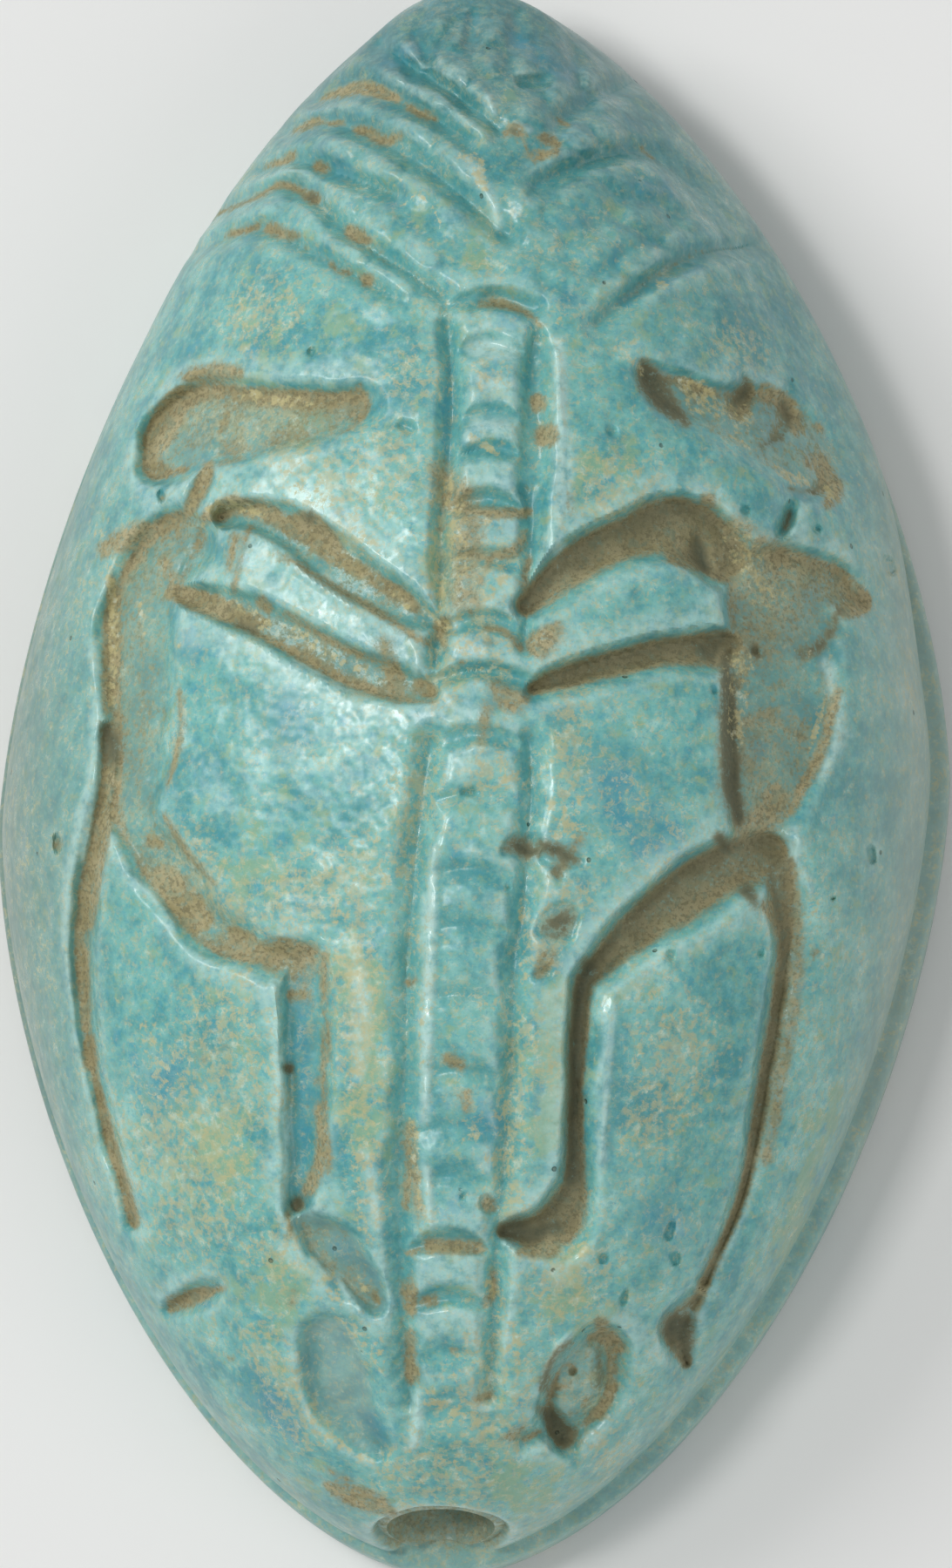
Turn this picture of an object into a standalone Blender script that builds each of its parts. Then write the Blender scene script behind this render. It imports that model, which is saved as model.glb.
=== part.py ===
"""Glazed amulet bead: a pointed oval with a flat underside, a carved back and a lengthwise string bore.

The bead lies on its underside with its length along Y and its carved back up.
The back shows a palm tree between two climbing monkeys, all cut below the surface.
Run it with blender --background --python part.py, or from Blender's text editor.
"""

import math
from dataclasses import dataclass

import bmesh
import bpy
import numpy as np

# Driving sizes of the body, in metres
LENGTH = 0.0380
WIDTH = 0.0228
DOME_HEIGHT = 0.0094
BASE_THICKNESS = 0.0026
BORE_RADIUS = 0.00125
BORE_MOUTH_RADIUS = 0.00155
BORE_MOUTH_LENGTH = 0.0014
BORE_RISE_FOOT = 0.0012  # the bore's axis above the base plate, at the foot of the palm,
BORE_RISE_TOP = 0.0006  # and at its crown, towards which the hand-drilled bore dips

# The edge of the base plate and the groove that parts it from the dome
EDGE_ROUNDING = 0.00035
GIRDLE_GROOVE_WIDTH = 0.0005
GIRDLE_GROOVE_DEPTH = 0.0003
DOME_INSET = 0.0003
DOME_SHIFT = -0.00015  # the hand-made dome sits a little to the left on its plate

# How the outline tapers from its widest station to each tip
TIP_SHIFT = -0.00037  # the two tips lie a little left of the middle of the width
WIDEST_LEFT = -0.0014
WIDEST_RIGHT = 0.00027
TOP_FULLNESS = 1.602
TOP_SHARPNESS = 0.63
FOOT_FULLNESS = 1.664
FOOT_SHARPNESS = 0.57

# How bluntly the dome comes down at each tip: 2 is an ellipse, more is blunter
TOP_BLUNTNESS = 2.35
FOOT_BLUNTNESS = 1.9

# The crest of the dome runs under the palm trunk, which leans a little
CREST_SHIFT = 0.00037
CREST_LEAN = 0.02
CREST_FADE = 6  # power with which the crest returns to the tips

# Depths of the carving and the width of the sloping walls, in metres
FIGURE_DEPTH = 0.00062
TAIL_DEPTH = 0.00042
PIT_DEPTH = 0.0007
TRUNK_GROOVE_DEPTH = 0.0003
RING_DEPTH = 0.00012
STRONG_RING_DEPTH = 0.0002
FROND_DEPTH = 0.0002
FIGURE_WALL = 0.00036
TRUNK_WALL = 0.00055
FINE_WALL = 0.0002
STEEPEST_GAIN = 1.5  # on the flanks a cut is deepened so that it is as deep across the surface

# Mesh density before and after the reduction
POINTS_AROUND = 440
DOME_RINGS = 132
ROUNDING_STEPS = 3
PATH_STEPS = 5
TRIANGLES = 9300
BORE_SIDES = 32

# The glaze
GLAZE_COLOR = (0.135, 0.375, 0.365, 1.0)
GLAZE_ROUGHNESS = 0.32

# Paths of the carving as (across, along, width) in thousandths: across and width of
# half the bead's width, along of half its length. Across runs to +X, along to +Y.
MONKEY_RIGHT = {
    "head": [
        (360, 480, 25), (420, 455, 85), (505, 440, 115),
        (610, 425, 160), (695, 395, 150), (730, 365, 80),
    ],
    "neck": [(680, 350, 45), (665, 315, 30), (645, 280, 55)],
    "torso": [
        (600, 235, 125), (655, 200, 235), (650, 100, 200),
        (625, 15, 165), (610, -65, 140), (615, -125, 110),
    ],
    "shoulder": [(665, 245, 110), (755, 230, 105), (835, 220, 35)],
    "thigh": [
        (625, -120, 120), (560, -135, 115), (475, -170, 120),
        (380, -215, 95), (310, -255, 70), (265, -285, 45),
    ],
    "shin": [(265, -285, 45), (255, -345, 45), (250, -430, 35), (250, -535, 55)],
    "foot": [(245, -545, 70), (225, -575, 100), (175, -590, 75), (105, -590, 30)],
    "upper arm": [
        (135, 180, 55), (190, 210, 80), (265, 245, 95),
        (345, 270, 95), (440, 285, 135), (540, 250, 110),
    ],
    "lower arm": [(150, 75, 25), (215, 90, 55), (375, 120, 65), (450, 130, 70), (545, 135, 90)],
}
MONKEY_LEFT = {
    "head": [
        (-235, 430, 80), (-310, 420, 110), (-470, 415, 160),
        (-545, 415, 190), (-610, 400, 165), (-645, 375, 105),
    ],
    "neck": [(-545, 345, 45), (-565, 320, 45), (-580, 295, 45)],
    "torso": [(-610, 260, 160), (-680, 190, 155), (-685, 100, 150), (-675, 15, 125), (-685, -65, 115)],
    "thigh": [(-690, -75, 100), (-580, -175, 110), (-495, -230, 85), (-395, -260, 70), (-315, -270, 80)],
    "shin": [(-315, -275, 90), (-310, -360, 95), (-310, -445, 85), (-325, -565, 45)],
    "foot": [(-310, -585, 45), (-250, -615, 95), (-200, -650, 80), (-160, -680, 40)],
    "upper arm": [
        (-505, 295, 45), (-425, 290, 60), (-340, 265, 85),
        (-265, 230, 95), (-135, 180, 75), (-35, 150, 30),
    ],
    "lower arm": [
        (-615, 205, 45), (-480, 175, 70), (-410, 155, 75),
        (-220, 95, 80), (-125, 75, 70), (-65, 70, 35),
    ],
}
TAILS = {
    "right": [
        (660, -135, 80), (675, -190, 65), (670, -255, 45),
        (635, -395, 45), (590, -530, 30), (515, -640, 30),
    ],
    "right end": [(500, -660, 35), (460, -700, 70), (475, -735, 25)],
    "left": [
        (-735, 30, 45), (-740, -40, 50), (-790, -210, 45),
        (-775, -355, 30), (-730, -470, 25), (-680, -575, 20),
    ],
    "left heel": [(-600, -680, 25), (-545, -670, 45), (-495, -660, 20)],
}
FRUIT_PITS = {
    "left": [(-260, -735, 120), (-240, -780, 130), (-205, -825, 80), (-155, -855, 30)],
    "right": [(305, -730, 95), (270, -770, 140), (235, -810, 105), (220, -835, 45)],
    "right notch": [(215, -820, 45), (145, -840, 20)],
}
TRUNK_SIDES = {
    "left": [
        (-50, 530, 35), (-45, 355, 45), (-80, 60, 45),
        (-115, -275, 45), (-100, -675, 45), (-85, -790, 35),
    ],
    "right": [
        (130, 520, 45), (140, 370, 55), (165, 10, 50),
        (130, -275, 45), (95, -625, 45), (80, -780, 40),
    ],
}
FRONDS = {
    "left lowest": [(-595, 655, 30), (-460, 670, 30), (-375, 645, 25), (-165, 570, 20)],
    "left second": [(-595, 695, 25), (-455, 725, 25), (-370, 720, 30), (-255, 650, 30), (-60, 570, 30)],
    "left third": [(-460, 755, 25), (-385, 760, 25), (-280, 735, 25), (-170, 705, 20)],
    "left fourth": [(-410, 805, 30), (-345, 815, 30), (-250, 795, 35), (-105, 740, 35), (70, 650, 30)],
    "left fifth": [(-345, 845, 40), (-250, 855, 45), (-105, 810, 30), (-15, 775, 20)],
    "left top": [(-215, 900, 25), (-150, 875, 25), (-20, 825, 30), (45, 790, 25)],
    "right lowest": [(260, 540, 30), (335, 585, 30), (420, 630, 30), (520, 660, 30), (595, 675, 25)],
    "right second": [(125, 715, 25), (215, 750, 30), (340, 780, 30), (390, 760, 25), (490, 720, 20)],
    "right top": [(165, 805, 20), (235, 845, 30), (300, 870, 20)],
}

# Stations of the rings round the trunk, in thousandths of half the length
RINGS = (560, 470, 400, 355, 235, 180, 145, 90, 30, -45, -110, -175, -240, -305, -380, -430, -505, -555)
STRONG_RINGS = (300, -610, -680, -750, -810)
RING_WIDTH = 34  # thousandths of half the width


@dataclass(frozen=True)
class Cut:
    """One stroke of the carving: a path in metres with a width at each point."""

    path: np.ndarray
    depth: float
    wall: float


def smooth_step(share):
    """0 below 0, 1 above 1, and an even rise between."""
    share = np.clip(share, 0.0, 1.0)
    return share * share * (3.0 - 2.0 * share)


def outline_x(y, side):
    """X of the bead's widest contour at the stations y, on the left (side -1) or the right (side +1)."""
    half = LENGTH / 2
    widest = WIDEST_RIGHT if side > 0 else WIDEST_LEFT
    reach = WIDTH / 2 - side * TIP_SHIFT
    above = y > widest
    share = np.where(above, (y - widest) / (half - widest), (widest - y) / (half + widest))
    fullness = np.where(above, TOP_FULLNESS, FOOT_FULLNESS)
    sharpness = np.where(above, TOP_SHARPNESS, FOOT_SHARPNESS)
    taper = np.clip(1.0 - np.clip(share, 0.0, 1.0) ** fullness, 0.0, 1.0) ** sharpness
    return TIP_SHIFT + side * reach * taper


def crest_x(y):
    """X of the dome's highest line at the stations y."""
    share = np.abs(y) / (LENGTH / 2)
    return TIP_SHIFT + (CREST_SHIFT - TIP_SHIFT + CREST_LEAN * y) * (1.0 - share**CREST_FADE)


def contour(inset, shift=0.0):
    """Points of the widest contour, drawn in by the inset and moved along X."""
    angle = 2 * math.pi * np.arange(POINTS_AROUND) / POINTS_AROUND
    y = LENGTH / 2 * np.sin(angle)
    x = np.where(np.cos(angle) >= 0, outline_x(y, 1), outline_x(y, -1))
    return np.stack([x * (1 - 2 * inset / WIDTH) + shift, y * (1 - 2 * inset / LENGTH)], axis=1)


def dome_rise(x, y):
    """Height of the uncarved dome above the base plate over plan points."""
    x = (x - DOME_SHIFT) / (1 - 2 * DOME_INSET / WIDTH)
    y = y / (1 - 2 * DOME_INSET / LENGTH)
    crest = crest_x(y)
    reach = np.where(x > crest, outline_x(y, 1) - crest, crest - outline_x(y, -1))
    across = np.clip(np.abs(x - crest) / np.maximum(reach, 1e-9), 0.0, 1.0)
    along = np.clip(np.abs(y) / (LENGTH / 2), 0.0, 1.0)
    bluntness = np.where(y > 0, TOP_BLUNTNESS, FOOT_BLUNTNESS)
    return DOME_HEIGHT * (1.0 - along**2) ** (1.0 / bluntness) * np.sqrt(1.0 - across**2)


def smooth_path(points):
    """A path through hand-set points, in metres, with a few steps on a curve between each two."""
    scale = np.array([WIDTH / 2, LENGTH / 2, WIDTH / 2]) / 1000
    knots = np.array(points, float) * scale
    knots = np.vstack([2 * knots[0] - knots[1], knots, 2 * knots[-1] - knots[-2]])
    pieces = []
    for before, start, end, after in zip(knots, knots[1:], knots[2:], knots[3:]):
        t = np.linspace(0.0, 1.0, PATH_STEPS, endpoint=False)[:, None]
        bend = 2 * start + (end - before) * t + (2 * before - 5 * start + 4 * end - after) * t**2
        pieces.append((bend + (3 * start - before - 3 * end + after) * t**3) / 2)
    return np.vstack([*pieces, knots[-2:-1]])


def ring_path(station):
    """The path of one ring across the trunk, between the middles of its two side grooves."""
    ends = []
    for side in ("left", "right"):
        across, along, _ = np.array(TRUNK_SIDES[side], float)[::-1].T
        ends.append((np.interp(station, along, across), station, RING_WIDTH))
    return ends


def all_cuts():
    """Every stroke of the carving, with its depth and wall."""
    groups = (
        (MONKEY_RIGHT.values(), FIGURE_DEPTH, FIGURE_WALL),
        (MONKEY_LEFT.values(), FIGURE_DEPTH, FIGURE_WALL),
        (TAILS.values(), TAIL_DEPTH, FIGURE_WALL),
        (FRUIT_PITS.values(), PIT_DEPTH, FIGURE_WALL),
        (TRUNK_SIDES.values(), TRUNK_GROOVE_DEPTH, TRUNK_WALL),
        (FRONDS.values(), FROND_DEPTH, FINE_WALL),
        (map(ring_path, RINGS), RING_DEPTH, FINE_WALL),
        (map(ring_path, STRONG_RINGS), STRONG_RING_DEPTH, FINE_WALL),
    )
    return [Cut(smooth_path(path), depth, wall) for paths, depth, wall in groups for path in paths]


def outside_distance(x, y, path):
    """Distance from plan points to the edge of a stroke, negative inside it."""
    best = np.full(x.shape, np.inf)
    for (ax, ay, aw), (bx, by, bw) in zip(path, path[1:]):
        run = max((bx - ax) ** 2 + (by - ay) ** 2, 1e-16)
        t = np.clip(((x - ax) * (bx - ax) + (y - ay) * (by - ay)) / run, 0.0, 1.0)
        away = np.hypot(x - ax - t * (bx - ax), y - ay - t * (by - ay))
        best = np.minimum(best, away - (aw + t * (bw - aw)) / 2)
    return best


def carved_depth(x, y):
    """Depth of the carving below the dome over plan points: the deepest stroke at each."""
    depth = np.zeros(x.shape)
    for cut in all_cuts():
        inside = 0.5 - outside_distance(x, y, cut.path) / cut.wall
        depth = np.maximum(depth, cut.depth * smooth_step(inside))
    return depth


def slope_gain(x, y):
    """How much deeper a cut runs along Z where the dome slopes."""
    step = LENGTH / 1000
    slope_x = (dome_rise(x + step, y) - dome_rise(x - step, y)) / (2 * step)
    slope_y = (dome_rise(x, y + step) - dome_rise(x, y - step)) / (2 * step)
    return np.minimum(np.sqrt(1.0 + slope_x**2 + slope_y**2), STEEPEST_GAIN)


def base_profile():
    """(inset, height) up the edge of the base plate, from under the floor to the foot of the dome."""
    top = BASE_THICKNESS - GIRDLE_GROOVE_WIDTH
    quarter = [math.pi / 2 * step / ROUNDING_STEPS for step in range(ROUNDING_STEPS + 1)]
    lower = [(EDGE_ROUNDING * (1 - math.sin(a)), EDGE_ROUNDING * (1 - math.cos(a))) for a in quarter]
    upper = [(EDGE_ROUNDING * (1 - math.cos(a)), top - EDGE_ROUNDING * (1 - math.sin(a))) for a in quarter]
    groove = [(DOME_INSET + GIRDLE_GROOVE_DEPTH, BASE_THICKNESS - GIRDLE_GROOVE_WIDTH / 2)]
    below = [(2 * EDGE_ROUNDING, -EDGE_ROUNDING)]
    return below + lower + upper + groove


def body_rings():
    """Rings of points from under the floor up to the apex of the dome, which is left out."""
    rings = []
    for inset, height in base_profile():
        plan = contour(inset)
        rings.append(np.column_stack([plan, np.full(POINTS_AROUND, height)]))
    foot = contour(DOME_INSET, DOME_SHIFT)
    centre = np.array([crest_x(0.0), 0.0])
    for ring in range(DOME_RINGS, 0, -1):
        share = math.sin(math.pi / 2 * ring / DOME_RINGS)
        x, y = (centre + (foot - centre) * share).T
        rise = dome_rise(x, y) - carved_depth(x, y) * slope_gain(x, y)
        rings.append(np.column_stack([x, y, BASE_THICKNESS + rise]))
    return rings


def body_mesh():
    """The closed, carved body, running a little below the floor where it is cut flat."""
    rings = body_rings()
    mesh = bmesh.new()
    rows = [[mesh.verts.new(point) for point in ring] for ring in rings]
    apex_x = float(crest_x(0.0))
    apex = mesh.verts.new((apex_x, 0.0, BASE_THICKNESS + float(dome_rise(apex_x, 0.0))))
    for low, high in zip(rows, rows[1:]):
        for i in range(POINTS_AROUND):
            k = (i + 1) % POINTS_AROUND
            mesh.faces.new((low[i], low[k], high[k], high[i]))
    for i in range(POINTS_AROUND):
        mesh.faces.new((rows[-1][i], rows[-1][(i + 1) % POINTS_AROUND], apex))
    mesh.faces.new(rows[0][::-1])
    bmesh.ops.recalc_face_normals(mesh, faces=mesh.faces)
    data = bpy.data.meshes.new("bead")
    mesh.to_mesh(data)
    mesh.free()
    return data


def bore_cutter():
    """A round bar along Y that widens at each mouth of the bore."""
    beyond = LENGTH / 2 + BORE_MOUTH_LENGTH
    inner = LENGTH / 2 - BORE_MOUTH_LENGTH
    stations = (-beyond, -inner, inner, beyond)
    radii = (BORE_MOUTH_RADIUS, BORE_RADIUS, BORE_RADIUS, BORE_MOUTH_RADIUS)
    dip = (BORE_RISE_FOOT - BORE_RISE_TOP) / LENGTH
    mesh = bmesh.new()
    rows = []
    for y, radius in zip(stations, radii):
        height = BASE_THICKNESS + BORE_RISE_FOOT - dip * (y + LENGTH / 2)
        angles = [2 * math.pi * i / BORE_SIDES for i in range(BORE_SIDES)]
        row = [(TIP_SHIFT + radius * math.cos(a), y, height + radius * math.sin(a)) for a in angles]
        rows.append([mesh.verts.new(point) for point in row])
    for first, second in zip(rows, rows[1:]):
        for i in range(BORE_SIDES):
            k = (i + 1) % BORE_SIDES
            mesh.faces.new((first[i], first[k], second[k], second[i]))
    mesh.faces.new(rows[0])
    mesh.faces.new(rows[-1])
    bmesh.ops.recalc_face_normals(mesh, faces=mesh.faces)
    return cutter_object("bore cutter", mesh)


def floor_cutter():
    """A block below the floor that leaves the underside flat."""
    mesh = bmesh.new()
    bmesh.ops.create_cube(mesh, size=2 * LENGTH)
    bmesh.ops.translate(mesh, vec=(0.0, 0.0, -LENGTH), verts=mesh.verts)
    return cutter_object("floor cutter", mesh)


def cutter_object(name, mesh):
    """A helper object that is kept out of the model."""
    data = bpy.data.meshes.new(name)
    mesh.to_mesh(data)
    mesh.free()
    helper = bpy.data.objects.new(name, data)
    helper.hide_render = True
    helper.display_type = "WIRE"
    bpy.context.scene.collection.objects.link(helper)
    return helper


def glaze_material():
    """The turquoise glaze of the bead."""
    material = bpy.data.materials.new("turquoise glaze")
    material.use_nodes = True
    shader = material.node_tree.nodes["Principled BSDF"]
    shader.inputs["Base Color"].default_value = GLAZE_COLOR
    shader.inputs["Roughness"].default_value = GLAZE_ROUGHNESS
    shader.inputs["Metallic"].default_value = 0.0
    return material


def add_bead():
    """The bead: carved body, thinned to fewer faces, cut flat below and bored through."""
    data = body_mesh()
    dense = sum(len(face.vertices) - 2 for face in data.polygons)
    bead = bpy.data.objects.new("bead", data)
    bead.data.materials.append(glaze_material())
    bpy.context.scene.collection.objects.link(bead)
    thin = bead.modifiers.new("fewer faces", "DECIMATE")
    thin.ratio = TRIANGLES / dense
    for helper in (floor_cutter(), bore_cutter()):
        cut = bead.modifiers.new(helper.name, "BOOLEAN")
        cut.operation = "DIFFERENCE"
        cut.solver = "EXACT"
        cut.object = helper
    data.shade_smooth()
    return bead


def main():
    for old in list(bpy.data.objects):
        bpy.data.objects.remove(old, do_unlink=True)
    add_bead()


main()
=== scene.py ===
"""Looks of a glazed amulet bead.

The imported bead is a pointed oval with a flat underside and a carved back: a palm tree between two
climbing monkeys. This script models it again at a finer scale inside the same box, with the soft
lips of the glaze, the ringed trunk, the leaflets, the chips and the firing pits. It then gives it
its glaze, the earth in its cuts and its lime crust, and sets the floor, the light and the camera.
"""

import logging
import math
from dataclasses import dataclass, field
from enum import Enum
from typing import Iterable

import bpy
import numpy as np
from mathutils import Matrix, Vector

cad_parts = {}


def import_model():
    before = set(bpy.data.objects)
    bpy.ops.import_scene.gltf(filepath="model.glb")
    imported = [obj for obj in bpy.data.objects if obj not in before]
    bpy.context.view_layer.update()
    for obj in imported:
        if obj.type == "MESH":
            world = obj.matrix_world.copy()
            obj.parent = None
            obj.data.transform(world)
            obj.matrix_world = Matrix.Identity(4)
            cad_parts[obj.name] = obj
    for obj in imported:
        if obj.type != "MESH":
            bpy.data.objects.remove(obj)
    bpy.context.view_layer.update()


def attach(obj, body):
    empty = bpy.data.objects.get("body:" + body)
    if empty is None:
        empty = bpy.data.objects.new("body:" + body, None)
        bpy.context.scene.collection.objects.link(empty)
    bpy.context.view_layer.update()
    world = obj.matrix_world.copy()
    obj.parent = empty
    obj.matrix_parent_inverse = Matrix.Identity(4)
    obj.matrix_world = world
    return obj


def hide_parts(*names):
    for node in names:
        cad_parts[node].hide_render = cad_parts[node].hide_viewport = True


LOG = logging.getLogger("amulet_bead")
BEAD_NODE = "bead"
MM = 0.001

# A path is a list of points (across, along, width) in thousandths: across and width of half the
# bead's width, along of half its length. Across runs to +X and along to +Y.
Path = list[tuple[float, float, float]]
# A figure names its strokes and gives each a share and a path
Figure = dict[str, tuple[float, Path]]
# A smooth rise, as where it starts and how wide it is
Rise = tuple[float, float]
# How strongly a kind of mark covers, and the width of its soft rim
Cover = tuple[float, float]

# The figures, as the floors of their cuts: the share that earth covers, and the path of each stroke
RIGHT_HEAD: Figure = {
    "head": (0.42, [
        (732, 363, 73), (695, 392, 146), (612, 426, 157), (509, 440, 113), (423, 456, 91), (361, 482, 33),
    ]),
}
RIGHT_BODY: Figure = {
    "torso": (0.62, [(595, 235, 116), (651, 200, 229), (651, 174, 222)]),
    "shoulder": (0.62, [(662, 246, 106), (744, 230, 109), (809, 218, 62)]),
}
RIGHT_LIMBS: Figure = {
    "thigh": (0.8, [
        (625, -120, 120), (560, -135, 115), (475, -170, 120), (380, -215, 95), (310, -255, 70), (265, -285, 45),
    ]),
    "shin": (0.75, [(265, -285, 45), (255, -345, 45), (250, -430, 35), (250, -535, 55)]),
    "foot": (0.95, [(245, -545, 70), (225, -575, 100), (175, -590, 75), (105, -590, 30)]),
    "upper arm": (1.0, [
        (135, 180, 55), (190, 210, 80), (265, 245, 95), (345, 270, 95), (440, 285, 135), (540, 250, 110),
    ]),
    "lower arm": (1.0, [(150, 75, 25), (215, 90, 55), (375, 120, 65), (450, 130, 70), (545, 135, 90)]),
}
RIGHT_WAIST: Figure = {
    "waist": (0.44, [(651, 174, 222), (655, 100, 229), (643, 16, 193)]),
    "hips": (0.56, [(643, 16, 193), (624, -64, 138), (615, -125, 109)]),
}
RIGHT_TAIL: Figure = {
    "right": (0.8, [
        (660, -135, 80), (675, -190, 65), (670, -255, 45), (635, -395, 45), (590, -530, 30), (515, -640, 30),
    ]),
    "right end": (0.7, [(500, -660, 35), (460, -700, 70), (475, -735, 25)]),
}
NECKS: Figure = {
    "right": (0.1, [(670, 330, 15), (660, 311, 22), (648, 292, 22)]),
    "left": (0.3, [(-545, 345, 40), (-565, 320, 40), (-580, 295, 45)]),
}
LEFT_HEAD: Figure = {
    "head": (0.5, [
        (-235, 430, 80), (-310, 420, 110), (-470, 415, 160), (-545, 415, 190), (-610, 400, 165), (-645, 375, 105),
    ]),
}
LEFT_BODY: Figure = {
    "torso": (0.5, [(-610, 260, 160), (-680, 190, 155), (-685, 100, 150), (-675, 15, 125), (-685, -65, 115)]),
    "thigh": (0.38, [(-690, -75, 100), (-580, -175, 110), (-495, -230, 85), (-395, -260, 70), (-315, -270, 80)]),
}
LEFT_ARMS: Figure = {
    "upper arm": (0.16, [
        (-505, 295, 45), (-425, 290, 60), (-340, 265, 85), (-265, 230, 95), (-135, 180, 75), (-35, 150, 30),
    ]),
    "lower arm": (0.2, [
        (-615, 205, 45), (-480, 175, 70), (-410, 155, 75), (-220, 95, 80), (-125, 75, 70), (-65, 70, 35),
    ]),
}
LEFT_LEG: Figure = {
    "shin": (0.12, [(-315, -275, 90), (-310, -360, 95), (-310, -445, 85), (-325, -565, 45)]),
    "foot": (0.2, [(-310, -585, 45), (-250, -615, 95), (-200, -650, 80), (-160, -680, 40)]),
}
LEFT_TAIL: Figure = {
    "left": (0.5, [
        (-735, 30, 45), (-740, -40, 50), (-790, -210, 45), (-775, -355, 30), (-730, -470, 25), (-680, -575, 20),
    ]),
    "left heel": (0.4, [(-600, -680, 25), (-545, -670, 45), (-495, -660, 20)]),
}
FRUIT_PITS: Figure = {
    "left": (0.1, [(-260, -735, 120), (-240, -780, 130), (-205, -825, 80), (-155, -855, 30)]),
    "right": (0.42, [(305, -730, 95), (270, -770, 140), (235, -810, 105), (220, -835, 45)]),
    "right notch": (0.3, [(215, -820, 45), (145, -840, 20)]),
}
TRUNK_SIDES: Figure = {
    "left": (0.1, [
        (-46, 531, 25), (-41, 500, 29), (-32, 422, 36), (-39, 339, 33), (-49, 278, 29), (-45, 213, 29),
        (-53, 104, 25), (-61, 6, 29), (-83, -102, 33), (-94, -209, 33), (-103, -273, 25), (-101, -369, 25),
        (-110, -475, 29), (-111, -538, 33), (-108, -633, 29), (-103, -706, 29), (-90, -800, 25),
    ]),
    "right": (0.1, [
        (131, 518, 25), (133, 468, 51), (140, 391, 62), (137, 335, 55), (137, 280, 40), (134, 226, 29),
        (129, 127, 22), (142, 8, 29), (147, -45, 29), (143, -110, 25), (135, -206, 25), (119, -260, 29),
        (118, -366, 29), (109, -472, 22), (98, -557, 22), (86, -631, 25), (83, -704, 25), (76, -788, 22),
    ]),
}
LEFT_FRONDS: Figure = {
    "left lowest": (0.12, [(-595, 655, 30), (-460, 670, 30), (-375, 645, 25), (-165, 570, 20)]),
    "left second": (0.12, [(-595, 695, 25), (-455, 725, 25), (-370, 720, 30), (-255, 650, 30), (-60, 570, 30)]),
    "left third": (0.1, [(-460, 755, 25), (-385, 760, 25), (-280, 735, 25), (-170, 705, 20)]),
    "left fourth": (0.1, [(-410, 805, 30), (-345, 815, 30), (-250, 795, 35), (-105, 740, 35), (70, 650, 30)]),
    "left fifth": (0.1, [(-345, 845, 40), (-250, 855, 45), (-105, 810, 30), (-15, 775, 20)]),
    "left top": (0.0, [(-215, 900, 25), (-150, 875, 25), (-20, 825, 30), (45, 790, 25)]),
}
RIGHT_FRONDS: Figure = {
    "right lowest": (0.15, [(260, 540, 30), (335, 585, 34), (420, 630, 34), (500, 656, 26), (550, 668, 8)]),
    "right second": (0.0, [(125, 715, 20), (215, 750, 28), (330, 778, 28), (390, 764, 20), (440, 742, 6)]),
    "right top": (0.0, [(165, 805, 20), (235, 845, 30), (300, 870, 20)]),
}
FIGURES = (
    RIGHT_HEAD, RIGHT_BODY, RIGHT_LIMBS, RIGHT_WAIST, RIGHT_TAIL, NECKS, LEFT_HEAD, LEFT_BODY, LEFT_ARMS,
    LEFT_LEG, LEFT_TAIL, FRUIT_PITS, TRUNK_SIDES, LEFT_FRONDS, RIGHT_FRONDS,
)
# The figures whose cuts get painted shade, as dark soil colour, at their steep walls, each with its share
SHADED_WALL_FIGURES = (
    (0.2, RIGHT_HEAD), (0.08, RIGHT_BODY), (0.65, RIGHT_LIMBS), (0.2, RIGHT_WAIST), (0.65, RIGHT_TAIL),
)
# The floors on which the glaze is grey
GREYED_FLOORS = [FRUIT_PITS["left"][1], LEFT_LEG["foot"][1]]

# Stations of the rings round the trunk, in thousandths of half the length, and the sizes of a ring
UPPER_RINGS = (560, 498, 410, 365, 228, 150, 6)
STRONG_RINGS = (299, 87, -613, -681)
WORN_RINGS = (-66, -159, -229, -314, -406, -473, -534, -747, -815)
TRUNK_WAIST = 20
RING_WIDTH = 34
RING_ARCH = 9

# The rim of a mark that fades out from its middle
FADING = 0.0

# Shallow fields between the fronds
CROWN_FIELD: dict[str, list[Path]] = {
    "right": [
        [(97, 758, 164), (241, 734, 237), (368, 702, 200)], [(103, 648, 200), (265, 636, 182), (371, 636, 109)],
    ],
    "left": [
        [(-396, 702, 73), (-229, 730, 182), (-44, 692, 200)], [(-272, 792, 109), (-123, 786, 164), (8, 727, 164)],
    ],
    "tip": [[(-131, 878, 109), (-22, 895, 182), (108, 861, 200), (198, 842, 127)]],
}
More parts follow.
